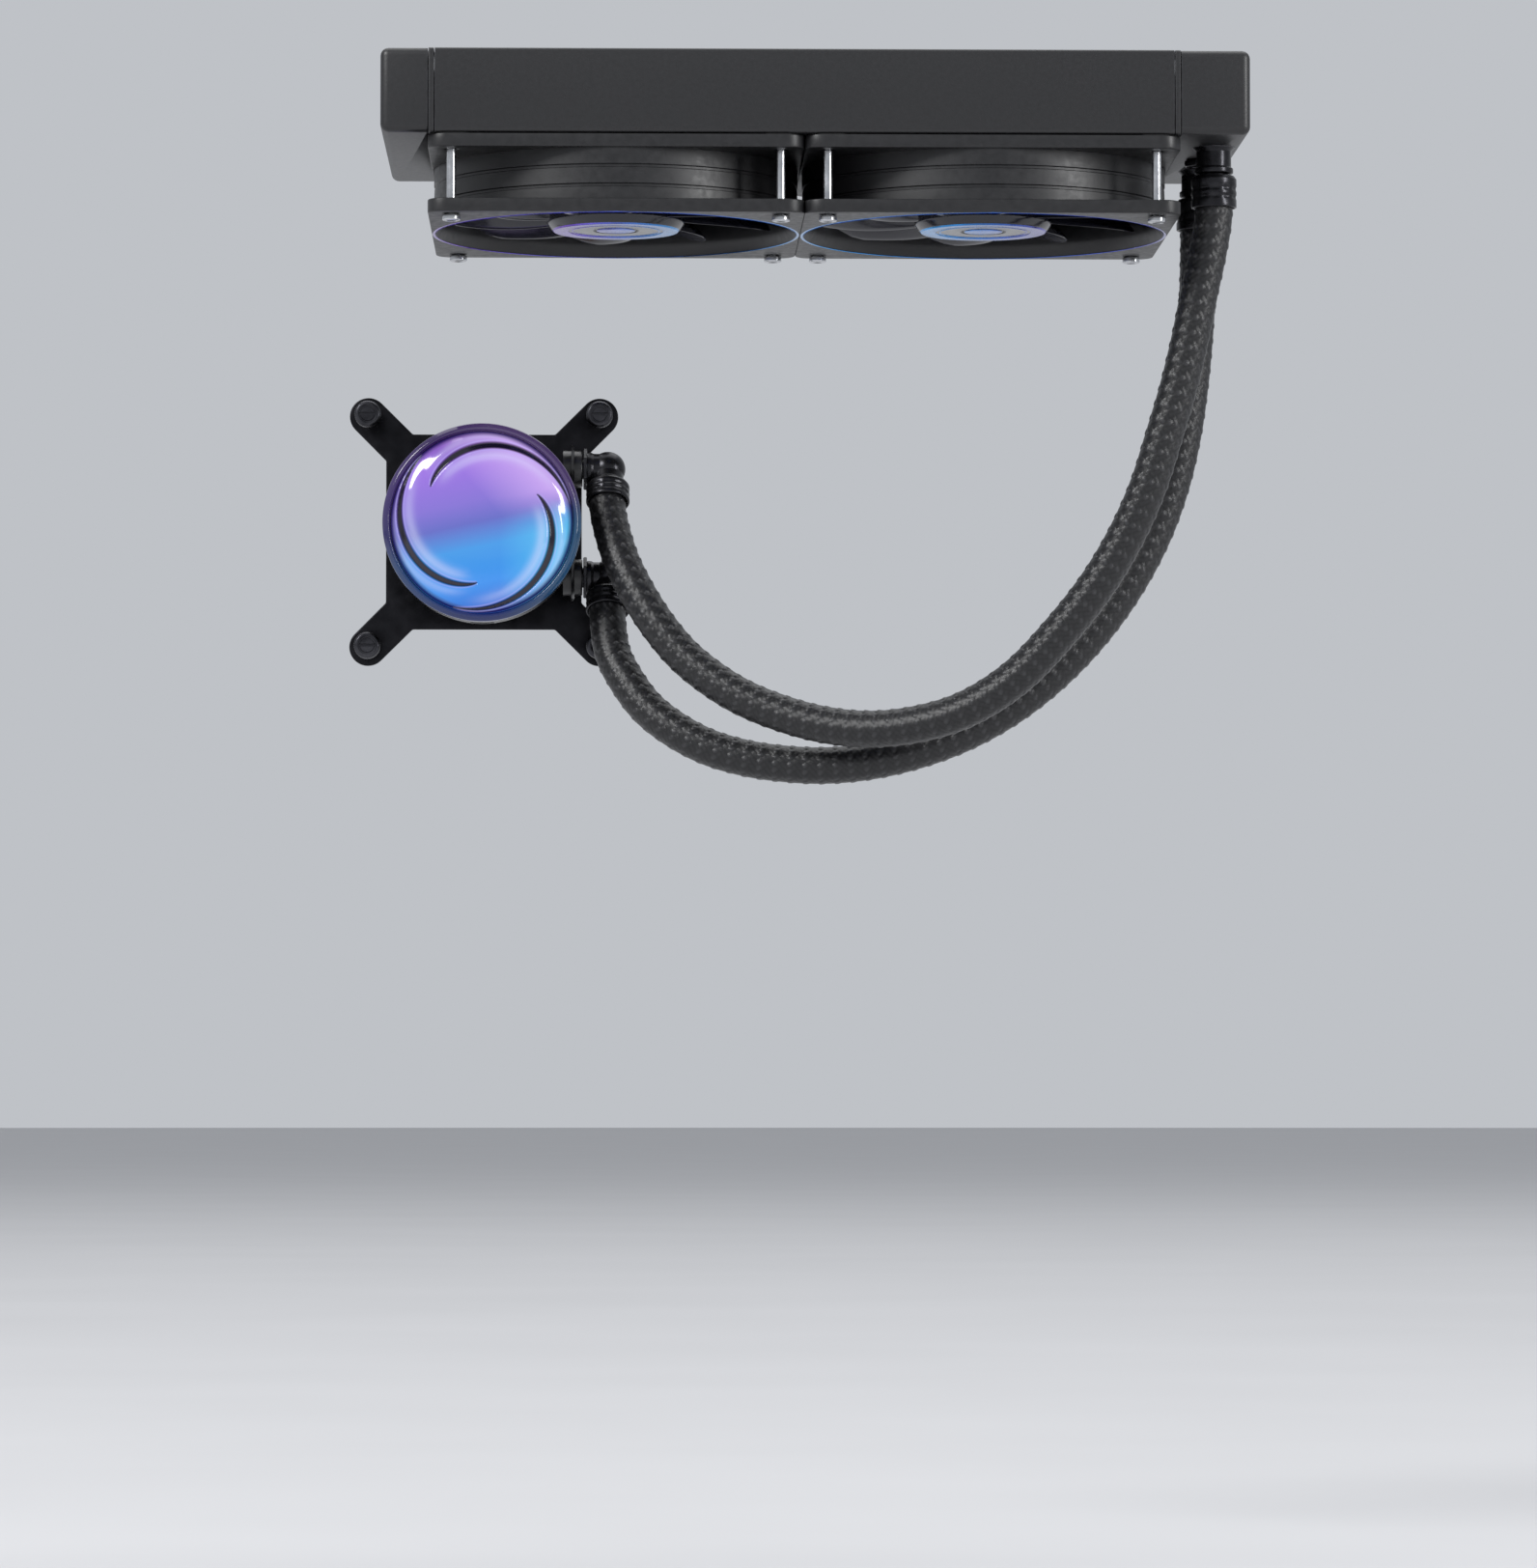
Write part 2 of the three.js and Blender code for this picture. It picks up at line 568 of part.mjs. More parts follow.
function retentionBracket() {
  const { low, high, hole, nut, ear, waist } = BRACKET;
  const s = new THREE.Shape();
  const knee = 24;
  const corners = [[1, 1, 0], [-1, 1, 1], [-1, -1, 2], [1, -1, 3]];
  s.moveTo(waist, -knee);
  for (const [x, y, turn] of corners) {
    const base = (turn * Math.PI) / 2;
    const [from, to] = [-Math.PI / 4 + base, (Math.PI * 3) / 4 + base];
    if (turn % 2 === 0) s.lineTo(waist * x, knee * y);
    else s.lineTo(knee * x, waist * y);
    s.absarc(nut * x, nut * y, ear, from, to, false);
    if (turn % 2 === 0) s.lineTo(knee * x, waist * y);
    else s.lineTo(waist * x, knee * y);
  }
  const holes = [rod(hole, low - 1, high + 1, 0, 0, 32)];
  for (const x of [-1, 1]) {
    for (const y of [-1, 1]) holes.push(rod(2.4, low - 1, high + 1, nut * x, nut * y, 12));
  }
  return shaped([slab(s, low, high, 5)], holes);
}

// Elbow in its own frame: X is the port axis and the bend's centre is the origin.
function elbow() {
  const lean = THREE.MathUtils.degToRad(ELBOW.lean);
  const swing = Math.PI / 2 - lean;
  const stub = turned([
    [0, -14.8], [3.4, -14.8], [3.4, -8.2], [6.6, -8.2], [6.6, -7], [5.5, -6.8],
    [5.5, 0], [0, 0],
  ], 16).rotateY(Math.PI / 2);
  const ball = new THREE.SphereGeometry(ELBOW.ball, 14, 8);
  const outlet = rod(4.6, 0, ELBOW.outlet, 0, 0, 16).rotateX(swing);
  return shaped([stub, ball, outlet], [rod(2.8, 0, 12, 0, 0, 12).rotateX(swing)]);
}

function elbowCollar() {
  const lean = THREE.MathUtils.degToRad(ELBOW.lean);
  const body = turned([
    [4.9, 6.2], [6.5, 6.2], [SLEEVE.outer, 7], [SLEEVE.outer, SLEEVE.long], [SLEEVE.inner, SLEEVE.long],
    [SLEEVE.inner, 8], [4.9, 8],
  ], 20);
  return body.rotateX(Math.PI / 2 - lean);
}

function thumbScrew(x, y) {
  const { head, low, high, shank, tail } = THUMB;
  const body = turned([
    [0, tail], [shank, tail], [shank, 0.2], [2.9, 0.2], [2.9, 1], [shank, 1], [shank, low], [head, low],
    [head, high - 0.6], [head - 0.6, high], [0, high],
  ], 14);
  return shaped([body], [block(-3, 3, -0.5, 0.5, high - 1.5, high + 1)]).translate(x, y, 0);
}

function spring(x, y) {
  const points = [];
  const turns = 4.5;
  const count = 9 * turns;
  for (let i = 0; i <= count; i += 1) {
    const a = (i / count) * turns * Math.PI * 2;
    points.push(new THREE.Vector3(x + 2.9 * Math.cos(a), y + 2.9 * Math.sin(a), 8.1 + (3.7 * i) / count));
  }
  return piped(new THREE.CatmullRomCurve3(points), 0.36, 4, 34);
}

function addPump(parent) {
  const group = new THREE.Group();
  group.name = 'pump_head';
  group.position.set(PUMP.x, PUMP.contactY, PUMP.z);
  group.rotation.x = Math.PI / 2;
  piece(group, 'cold_plate', 'copper', coldPlate());
  piece(group, 'cold_plate_seal', 'rubber', coldPlateSeal());
  piece(group, 'pump_base', 'pumpPlastic', pumpBase());
  piece(group, 'impeller', 'ceramic', impeller());
  piece(group, 'impeller_magnet', 'ferrite', ring(1.7, 8.8, 9.7, 20.5, 24));
  piece(group, 'pump_shaft', 'ceramic', rod(1.1, 5.1, 21.8, 0, 0, 12));
  piece(group, 'rotor_can', 'darkSteel', rotorCan());
  piece(group, 'pump_stator', 'winding', pumpStator());
  piece(group, 'pump_board', 'board', pumpBoard());
  piece(group, 'pump_shell', 'pumpPlastic', pumpShell());
  piece(group, 'light_guide', 'glow', lightGuide());
  piece(group, 'dome_cover', 'clearCap', domeCover());
  piece(group, 'rim_ring', 'rimTint', rimRing());
  piece(group, 'retention_bracket', 'blackMetal', retentionBracket());
  for (const level of ['upper', 'lower']) {
    const bend = new THREE.Group();
    bend.name = `elbow_${level}_assembly`;
    bend.position.set(ELBOW.x, ELBOW[level], ELBOW.height);
    piece(bend, `elbow_${level}`, 'fitting', elbow());
    piece(bend, `elbow_collar_${level}`, 'fitting', elbowCollar());
    group.add(bend);
  }
  const nuts = [[-1, 1], [1, 1], [1, -1], [-1, -1]];
  nuts.forEach(([x, y], i) => {
    const [cx, cy] = [x * BRACKET.nut, y * BRACKET.nut];
    piece(group, `thumb_screw_${i + 1}`, 'darkSteel', thumbScrew(cx, cy));
    piece(group, `spring_${i + 1}`, 'steel', spring(cx, cy));
  });
  parent.add(group);
}

// ---------------------------------------------------------------- hoses
// Where a hose starts below its elbow, and the point straight behind that start.
function elbowMouth(level) {
  const lean = THREE.MathUtils.degToRad(ELBOW.lean);
  const out = new THREE.Vector3(0, -Math.sin(lean), -Math.cos(lean));
  const centre = new THREE.Vector3(PUMP.x + ELBOW.x, PUMP.contactY - ELBOW.height, PUMP.z + ELBOW[level]);
  return [8, 0.0].map((extra) => centre.clone().addScaledVector(out, ELBOW.outlet + GAP + extra));
}

function hose(route, level) {
  const [first, mouth] = elbowMouth(level);
  const points = route.map(([x, y, z]) => new THREE.Vector3(x, y, z));
  const curve = new THREE.CatmullRomCurve3([...points, first, mouth]);
  return piped(curve, HOSE.radius, HOSE.sides, HOSE.steps);
}

function addHoses(parent) {
  const group = new THREE.Group();
  group.name = 'hoses';
  piece(group, 'hose_upper', 'braid', hose(UPPER_ROUTE, 'upper'));
  piece(group, 'hose_lower', 'braid', hose(LOWER_ROUTE, 'lower'));
  parent.add(group);
}

// ---------------------------------------------------------------- assembly
const cooler = new THREE.Group();
cooler.name = 'liquid_cooler';
addRadiator(cooler);
addFan(cooler, 'left');
addFan(cooler, 'right');
addPump(cooler);
addHoses(cooler);

export default cooler;
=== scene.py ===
import json
from math import acos, cos, pi, radians, sin, sqrt, tan

import bmesh
import bpy
import numpy as np
from mathutils import Matrix, Vector


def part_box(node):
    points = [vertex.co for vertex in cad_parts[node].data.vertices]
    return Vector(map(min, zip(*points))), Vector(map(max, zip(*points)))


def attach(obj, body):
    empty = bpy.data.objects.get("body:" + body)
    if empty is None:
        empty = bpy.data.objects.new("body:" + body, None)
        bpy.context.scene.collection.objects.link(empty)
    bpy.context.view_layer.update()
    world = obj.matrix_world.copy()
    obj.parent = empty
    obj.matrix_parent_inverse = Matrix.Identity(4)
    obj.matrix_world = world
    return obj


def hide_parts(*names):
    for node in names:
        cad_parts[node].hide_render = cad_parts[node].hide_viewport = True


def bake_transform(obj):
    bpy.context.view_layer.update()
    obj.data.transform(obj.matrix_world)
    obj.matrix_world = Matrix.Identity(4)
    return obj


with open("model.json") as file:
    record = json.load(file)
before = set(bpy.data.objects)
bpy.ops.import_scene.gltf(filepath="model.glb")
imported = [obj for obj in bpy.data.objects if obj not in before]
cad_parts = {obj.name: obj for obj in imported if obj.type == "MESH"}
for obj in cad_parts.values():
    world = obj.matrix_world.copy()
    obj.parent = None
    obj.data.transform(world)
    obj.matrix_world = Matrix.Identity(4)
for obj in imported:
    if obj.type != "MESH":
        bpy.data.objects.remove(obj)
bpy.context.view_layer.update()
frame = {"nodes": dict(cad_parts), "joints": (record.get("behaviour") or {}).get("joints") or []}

# Looks of a closed-loop liquid cooler: radiator, two fans, two braided hoses and a lit pump head.
# The scene is in metres. Pieces are shaped in millimetres of a local frame and placed by a matrix.
MM = 0.001
TURN = 2 * pi
SCENE = bpy.context.scene

CAMERA_PLACE = (-0.0638, -2.1875, -0.3328)
CAMERA_LENS = 154.6
CAMERA_UP = radians(2.651)
CAMERA_RIGHT = radians(1.404)
FLOOR_Z = -0.485

HOSE_RADIUS = 6.3
# The hoses' centre lines, in millimetres, from the radiator's ports to the pump's elbows.
UPPER_ROUTE = [
    (133, -28.3, -41.8), (132.8, -28.3, -50), (131, -28.3, -61), (128, -27.8, -75), (125, -26.8, -90),
    (121.4, -25.5, -105), (117, -24, -120), (112, -22, -136), (105.5, -19, -151), (96.5, -15.5, -166.5),
    (84.5, -11, -182), (70, -5, -197), (54, 1, -207), (38.5, 7.5, -211.5), (23, 14, -212.8),
    (7.5, 20.5, -210.8), (-8, 26.5, -206), (-19.5, 30.5, -200.7), (-29.5, 34.5, -194), (-38, 38.5, -186.5),
    (-46, 42.4, -176.5), (-53, 47.2, -165), (-58.5, 52.8, -153),
]
LOWER_ROUTE = [
    (133, 28.3, -41.8), (133, 28.3, -52), (132.6, 28.4, -67), (131.6, 28.5, -83), (130, 28.5, -99),
    (127.6, 28.5, -115), (123.8, 28.5, -131), (118, 28.5, -147), (109.6, 28.5, -163), (98.6, 28.6, -178.6),
    (85.6, 28.8, -192.5), (71, 29, -204.2), (55.5, 29.4, -213), (39.5, 30, -219), (23.7, 31, -222.6),
    (7.8, 32.4, -223.9), (-8, 34.4, -222.8), (-18, 36, -221), (-29, 38.2, -217.6), (-39.5, 41.4, -212),
    (-49.4, 46.2, -204), (-57, 51.8, -193.3), (-60.9, 56.8, -184.8),
]


# ---- frame places
def box_mm(node):
    low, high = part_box(node)
    return np.array(low) / MM, np.array(high) / MM


def middle_mm(node):
    low, high = box_mm(node)
    return (low + high) / 2


WORLD = Matrix.Scale(MM, 4)


def fan_place(side):
    """Fan frame in mm: its axis is Z, and Z 0 is the intake face, which looks down."""
    low, high = box_mm(f"fan_{side}_frame")
    return WORLD @ Matrix.Translation(((low[0] + high[0]) / 2, (low[1] + high[1]) / 2, low[2]))


def pump_place():
    """Pump frame in mm: Z is the height above the contact face, X and Y lie in that face."""
    face = box_mm("cold_plate")[1][1]
    centre = middle_mm("cold_plate")
    return WORLD @ Matrix.Translation((centre[0], face, centre[2])) @ Matrix.Rotation(TURN / 4, 4, "X")


PUMP = pump_place()
CAP_CENTRE = tuple(middle_mm("rim_ring") * MM)
JOINTS = {j["name"]: j for j in frame["joints"]}


# ---- shapes
# Edges that turn more than this are rounded off.
SHARP_CORNER = radians(40)
# Edges that turn less than this, in degrees, are shaded smooth.
SMOOTH_UNDER = 35


def add_object(name, data):
    obj = bpy.data.objects.new(name, data)
    SCENE.collection.objects.link(obj)
    return obj


class Shape:
    """Points and faces of one piece, in millimetres."""

    def __init__(self, *parts):
        self.points = np.zeros((0, 3))
        self.faces = []
        for part in parts:
            self.add(part)

    def add(self, part, turn=None):
        points, faces = (part.points, part.faces) if isinstance(part, Shape) else part
        start = len(self.points)
        self.points = np.vstack([self.points, moved(points, turn) if turn else points])
        self.faces += [[int(i) + start for i in face] for face in faces]


def moved(points, place):
    place = np.array(place)
    return points @ place[:3, :3].T + place[:3, 3]


def shift(x=0.0, y=0.0, z=0.0):
    return Matrix.Translation((x, y, z))


def spin(angle, axis="Z"):
    return Matrix.Rotation(angle, 4, axis)


def round_angles(sides):
    return np.arange(sides) / sides * TURN


def quads(rows, columns, close_rows=False):
    """Faces between neighbouring rings of points that are numbered ring by ring."""
    i = np.arange(rows if close_rows else rows - 1)[:, None]
    j = np.arange(columns)[None, :]
    following = (j + 1) % columns
    this_row, next_row = i * columns, (i + 1) % rows * columns
    corners = [this_row + j, this_row + following, next_row + following, next_row + j]
    return np.stack(corners, -1).reshape(-1, 4)


def closed_tube(rows, columns):
    """Faces of a tube of points numbered ring by ring, with a face over each end."""
    count = rows * columns
    ends = [list(range(columns))[::-1], list(range(count - columns, count))]
    return quads(rows, columns).tolist() + ends


def rounded(corners, steps=4):
    """A line of points whose corners turn on arcs. A corner is (a, b) or (a, b, radius)."""
    line = []
    for i, corner in enumerate(corners):
        here = np.array(corner[:2], float)
        if len(corner) < 3:
            line.append(here)
            continue
        radius = corner[2]
        before = np.array(corners[i - 1][:2], float) - here
        after = np.array(corners[(i + 1) % len(corners)][:2], float) - here
        before /= np.linalg.norm(before)
        after /= np.linalg.norm(after)
        half = acos(max(-1.0, min(1.0, before @ after))) / 2
        toward = (before + after) / np.linalg.norm(before + after)
        centre = here + toward * radius / sin(half)
        arm = here + before * radius / tan(half) - centre
        bend = np.sign(arm[1] * toward[0] - arm[0] * toward[1]) * (pi - 2 * half)
        for k in range(steps + 1):
            c, s = cos(bend * k / steps), sin(bend * k / steps)
            line.append(centre + (arm[0] * c - arm[1] * s, arm[0] * s + arm[1] * c))
    return line


def lathe(section, sides):
    """Body of revolution about Z. The section runs round as (radius, height) points, and it may start and
    end on the axis; a radius or a height may be one value for each side."""
    angles = round_angles(sides)
    poles = np.ndim(section[0][0]) == 0 and abs(section[0][0]) < 1e-9
    ring = section[1:-1] if poles else section
    rows = []
    for radius, height in ring:
        row = np.empty((sides, 3))
        row[:, 0], row[:, 1], row[:, 2] = radius * np.cos(angles), radius * np.sin(angles), height
        rows.append(row)
    points = np.vstack(rows)
    faces = quads(len(ring), sides, close_rows=not poles).tolist()
    if poles:
        first = len(points)
        points = np.vstack([points, [0, 0, section[0][1]], [0, 0, section[-1][1]]])
        last_row = (len(ring) - 1) * sides
        for j in range(sides):
            following = (j + 1) % sides
            faces.append([first, following, j])
            faces.append([first + 1, last_row + j, last_row + following])
    return points, faces


def turned(sides, steps, corners):
    """Body of revolution whose section has rounded corners."""
    return lathe(rounded(corners, steps), sides)


def circle(radius, sides, x=0.0, y=0.0):
    return [(x + radius * cos(a), y + radius * sin(a)) for a in round_angles(sides)]


def rounded_box(half_x, half_y, radius, steps):
    corners = [(half_x, half_y), (-half_x, half_y), (-half_x, -half_y), (half_x, -half_y)]
    return rounded([(x, y, radius) for x, y in corners], steps)


def taken(work):
    """The points and faces of a bmesh, which is then freed."""
    work.verts.index_update()
    points = np.array([v.co for v in work.verts])
    faces = [[v.index for v in f.verts] for f in work.faces]
    work.free()
    return points, faces


def plate(outline, holes, low, high):
    """Flat plate between two heights with holes through it."""
    flat = bmesh.new()
    for loop in [outline, *holes]:
        corners = [flat.verts.new((x, y, 0)) for x, y in loop]
        for i, corner in enumerate(corners):
            flat.edges.new((corner, corners[(i + 1) % len(corners)]))
    bmesh.ops.triangle_fill(flat, use_beauty=True, use_dissolve=False, edges=flat.edges[:])
    points, faces = taken(flat)
    count = len(points)
    faces += [[i + count for i in reversed(face)] for face in faces]
    start = 0
    for loop in [outline, *holes]:
        for i in range(len(loop)):
            a, b = start + i, start + (i + 1) % len(loop)
            faces.append([a, b, b + count, a + count])
        start += len(loop)
    return np.vstack([points + (0, 0, low), points + (0, 0, high)]), faces


def prism(outline, low, high):
    return plate(outline, [], low, high)


def block(x0, x1, y0, y1, z0, z1):
    return prism([(x0, y0), (x1, y0), (x1, y1), (x0, y1)], z0, z1)


def softened(part, width, segments=2, keep=None):
    """The part with its sharp edges rounded off. keep(point) is true at edges that stay sharp."""
    shape = Shape(part)
    work = bmesh.new()
    corners = [work.verts.new(p) for p in shape.points]
    for face in shape.faces:
        work.faces.new([corners[i] for i in face])
    bmesh.ops.recalc_face_normals(work, faces=work.faces[:])
    sharp = []
    for edge in work.edges:
        if len(edge.link_faces) != 2 or edge.calc_face_angle(0) < SHARP_CORNER:
            continue
        if keep is None or not keep((edge.verts[0].co + edge.verts[1].co) / 2):
            sharp.append(edge)
    bmesh.ops.bevel(work, geom=sharp, offset=width, segments=segments, profile=0.5, affect="EDGES",
                    clamp_overlap=True)
    return Shape(taken(work))


def rings_along(line, angles):
    """Unit circles round the points of a line, on two directions across it that don't twist."""
    tangents = np.gradient(line, axis=0)
    tangents /= np.linalg.norm(tangents, axis=1)[:, None]
    start = np.cross(tangents[0], (0, 1, 0.1))
    normals = [start / np.linalg.norm(start)]
    for tangent in tangents[1:]:
        across = normals[-1] - tangent * (normals[-1] @ tangent)
        normals.append(across / np.linalg.norm(across))
    normals = np.array(normals)
    others = np.cross(tangents, normals)
    return np.cos(angles)[:, None] * normals[:, None] + np.sin(angles)[:, None] * others[:, None]


def sweep(line, radius, sides):
    """Round wire along a line of points, closed at both ends."""
    rings = rings_along(line, round_angles(sides))
    return (line[:, None] + radius * rings).reshape(-1, 3), closed_tube(len(line), sides)


def shade(mesh, sharp):
    mesh.shade_smooth()
    mesh.set_sharp_from_angle(angle=radians(sharp))


def make(name, shape, place, look, sharp=SMOOTH_UNDER):
    """An object from a shape: smooth, with edges sharper than the angle kept."""
    shape = Shape(shape)
    mesh = bpy.data.meshes.new(name)
    mesh.from_pydata(moved(shape.points, place).tolist(), [], shape.faces)
    work = bmesh.new()
    work.from_mesh(mesh)
    bmesh.ops.recalc_face_normals(work, faces=work.faces[:])
    work.to_mesh(mesh)
    work.free()
    shade(mesh, sharp)
    mesh.materials.append(look)
    return add_object(name, mesh)


def cut(obj, cutter, place):
    """Takes the cutter's shape out of the object's mesh."""
    tool = make("cutter", cutter, place, obj.data.materials[0])
    carve = obj.modifiers.new("carve", "BOOLEAN")
    carve.object = tool
    carve.operation = "DIFFERENCE"
    carve.solver = "EXACT"
    seen = obj.evaluated_get(bpy.context.evaluated_depsgraph_get())
    mesh = bpy.data.meshes.new_from_object(seen)
    obj.modifiers.clear()
    obj.data = mesh
    bpy.data.objects.remove(tool)
    shade(mesh, SMOOTH_UNDER)


def fit(obj, body, slot, *nodes):
    """The object rides on a body and stands for these CAD nodes, which it hides. The slot is not used."""
    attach(obj, body)
    if nodes:
        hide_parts(*nodes)


def fixed(name, shape, place, look, slot, *nodes, sharp=SMOOTH_UNDER):
    """A piece that belongs to the chassis."""
    fit(make(name, shape, place, look, sharp), "chassis", slot, *nodes)


# ---- materials
# Filaments side by side in one yarn of the braid.
FILAMENTS = 7


class Look:
    """A Principled material and the nodes that feed it."""

    def __init__(self, name, color, roughness, metallic=0.0, **values):
        self.material = bpy.data.materials.new(name)
        self.material.use_nodes = True
        self.tree = self.material.node_tree
        self.shader = self.tree.nodes["Principled BSDF"]
        self.set("Base Color", (*color, 1))
        self.set("Roughness", roughness)
        self.set("Metallic", metallic)
        for socket, value in values.items():
            self.set(socket.replace("_", " "), value)
        self.spot = self.node("ShaderNodeTexCoord").outputs["Object"]

    def set(self, socket, value):
        self.shader.inputs[socket].default_value = value

    def put(self, socket, value):
        """Links a socket's source, or sets its plain value; a colour of three gets its alpha."""
        if isinstance(value, bpy.types.NodeSocket):
            self.tree.links.new(value, socket)
        elif socket.type == "RGBA" and len(value) == 3:
            socket.default_value = (*value, 1)
        else:
            socket.default_value = value

    def node(self, kind, inputs=None, **settings):
        made = self.tree.nodes.new(kind)
        for key, value in settings.items():
            setattr(made, key, value)
        for key, value in (inputs or {}).items():
            self.put(made.inputs[key], value)
        return made

    def feed(self, socket, source):
        self.tree.links.new(source, self.shader.inputs[socket])

    def noise(self, scale, detail, stretch=(1, 1, 1)):
        spot = self.spot
        if stretch != (1, 1, 1):
            spot = self.node("ShaderNodeMapping", {"Vector": spot, "Scale": stretch}).outputs["Vector"]
        values = {"Vector": spot, "Scale": scale, "Detail": detail}
        return self.node("ShaderNodeTexNoise", values).outputs["Fac"]

    def attribute(self, name):
        return self.node("ShaderNodeAttribute", attribute_name=name).outputs["Fac"]

    def split(self, vector):
        """X, Y and Z of a vector, by name."""
        return self.node("ShaderNodeSeparateXYZ", {"Vector": vector}).outputs

    def math(self, operation, a, b=0.0, clamp=False):
        return self.node("ShaderNodeMath", {0: a, 1: b}, operation=operation, use_clamp=clamp).outputs[0]

    def times(self, a, b):
        return self.math("MULTIPLY", a, b)

    def plus(self, a, b):
        return self.math("ADD", a, b)

    def spread(self, value, low, high, to_low=0.0, to_high=1.0):
        values = {"Value": value, "From Min": low, "From Max": high, "To Min": to_low, "To Max": to_high}
        return self.node("ShaderNodeMapRange", values).outputs["Result"]

    def mix(self, share, first, second):
        return self.node("ShaderNodeMix", {0: share, 6: first, 7: second}, data_type="RGBA").outputs[2]

    def ramp(self, value, *stops):
        made = self.node("ShaderNodeValToRGB", {"Fac": value})
        ramp = made.color_ramp
        while len(ramp.elements) < len(stops):
            ramp.elements.new(0.5)
        for element, (place, color) in zip(ramp.elements, stops):
            element.position = place
            element.color = (*color, 1)
        return made.outputs["Color"]

    def bump(self, height, distance, strength):
        values = {"Height": height, "Distance": distance, "Strength": strength}
        self.feed("Normal", self.node("ShaderNodeBump", values).outputs["Normal"])

    def glow(self, color, strength):
        self.feed("Emission Color", color)
        self.set("Emission Strength", strength)

    def gloss(self, scale, detail, low, high):
        """Roughness that wanders between two values."""
        self.feed("Roughness", self.spread(self.noise(scale, detail), 0.3, 0.7, low, high))

    def vary(self, scale, low, high, dark, light, stretch=(1, 1, 1)):
        """Roughness from low to high and colour from dark to light, in the same soft patches."""
        patches = self.spread(self.noise(scale, 4, stretch), 0.3, 0.7)
        self.feed("Roughness", self.spread(patches, 0, 1, low, high))
        tint = self.mix(patches, dark, light)
        self.feed("Base Color", tint)
        return tint

    def wear(self, tint, color, radius):
        """Rubbed edges: the colour shows where the surface turns within the radius."""
        soft = self.node("ShaderNodeBevel", {"Radius": radius}, samples=4).outputs["Normal"]
        flat = self.node("ShaderNodeNewGeometry").outputs["Normal"]
        facing = self.node("ShaderNodeVectorMath", {0: soft, 1: flat}, operation="DOT_PRODUCT")
        edge = self.spread(facing.outputs["Value"], 0.985, 0.86)
        patches = self.spread(self.noise(320, 5), 0.38, 0.62)
        share = self.math("MULTIPLY", self.math("MULTIPLY", edge, patches), 0.6, clamp=True)
        self.feed("Base Color", self.mix(share, tint, color))


def worked(name, dark, light, low, high, metallic=0.0, patch=400, grain=2600, detail=2, depth=0.00003,
           strength=0.5, stretch=(1, 1, 1), patch_stretch=(1, 1, 1), rub=None, **values):
    """Colour from dark to light and roughness from low to high in soft patches, under a fine grain. rub
    holds the colour of rubbed edges and how far they reach."""
    look = Look(name, dark, low, metallic, **values)
    tint = look.vary(patch, low, high, dark, light, patch_stretch)
    if rub:
        look.wear(tint, *rub)
    look.bump(look.noise(grain, detail, stretch), depth, strength)
    return look.material


def braid():
    """Yarns of a braided sleeve: which direction lies on top, and the filaments along each yarn. The colour
    is darkened as painted shade between filaments and where the yarns sit low.
    """
    look = Look("braid", (0.008, 0.008, 0.009), 0.4, Sheen_Weight=0.04, Sheen_Roughness=0.3)
    place = look.node("ShaderNodeUVMap", uv_map="weave").outputs["UV"]
    parts = look.split(place)
    right = look.plus(parts["X"], parts["Y"])
    left = look.math("SUBTRACT", parts["X"], parts["Y"])
    step = look.math("SUBTRACT", look.math("FLOOR", right), look.math("FLOOR", left))
    phase = look.math("FLOORED_MODULO", step, 4.0)
    on_top = look.math("LESS_THAN", phase, 2.0)
    across = look.node("ShaderNodeMix", {0: on_top, 2: left, 3: right}, data_type="FLOAT").outputs[0]
    threads = look.math("SINE", look.times(across, TURN * FILAMENTS))
    fine = look.spread(threads, -1, 1)
    # Painted shade: the base colour darkens between filaments and where the yarns sit low in the weave.
    shade = look.plus(look.times(fine, 0.4), 0.6)
    shade = look.times(shade, look.attribute("height"))
    look.feed("Base Color", look.mix(shade, (0.0015, 0.0015, 0.002), (0.034, 0.034, 0.037)))
    look.feed("Roughness", look.spread(fine, 0, 1, 0.42, 0.27))
    look.bump(fine, 0.00004, 0.5)
    return look.material


def moulded(name, dark, light, low, high, depth=0.00003, coat=0.0):
    """Moulded plastic with a fine grain."""
    return worked(name, dark, light, low, high, depth=depth, Coat_Weight=coat, Coat_Roughness=0.12)


def painted_reflection_gloss(name, low_x, high_x, low_color, high_color, roughness=0.16):
    """Gloss whose tint turns from one colour to another along X: a painted reflection of coloured lamps, for
    the fans' mouth rims and hub rings.
    """
    look = Look(name, low_color, roughness, 0.9, Coat_Weight=0.5, Coat_Roughness=0.05)
    along = look.split(look.spot)["X"]
    tint = look.mix(look.spread(along, low_x, high_x), low_color, high_color)
    smoke = look.spread(look.noise(180, 3), 0.3, 0.7, 0.0, 0.35)
    look.feed("Base Color", look.mix(smoke, tint, (0.01, 0.01, 0.02)))
    look.gloss(500, 2, roughness, roughness + 0.1)
    return look.material


def metal(name, dark, light, low, high, stretch=(1, 1, 1), scale=900, depth=0.00001):
    """Bare metal with fine tool marks."""
    return worked(name, dark, light, low, high, 1.0, scale / 4, scale, 3, depth, 0.5, stretch, stretch)


def plain_solid(name, dark, light, low, high, metallic=0.0):
    """Ferrite, ceramic, rubber and the like: a fine mottle and a little roughness."""
    return worked(name, dark, light, low, high, metallic, 300, 1200, 3)


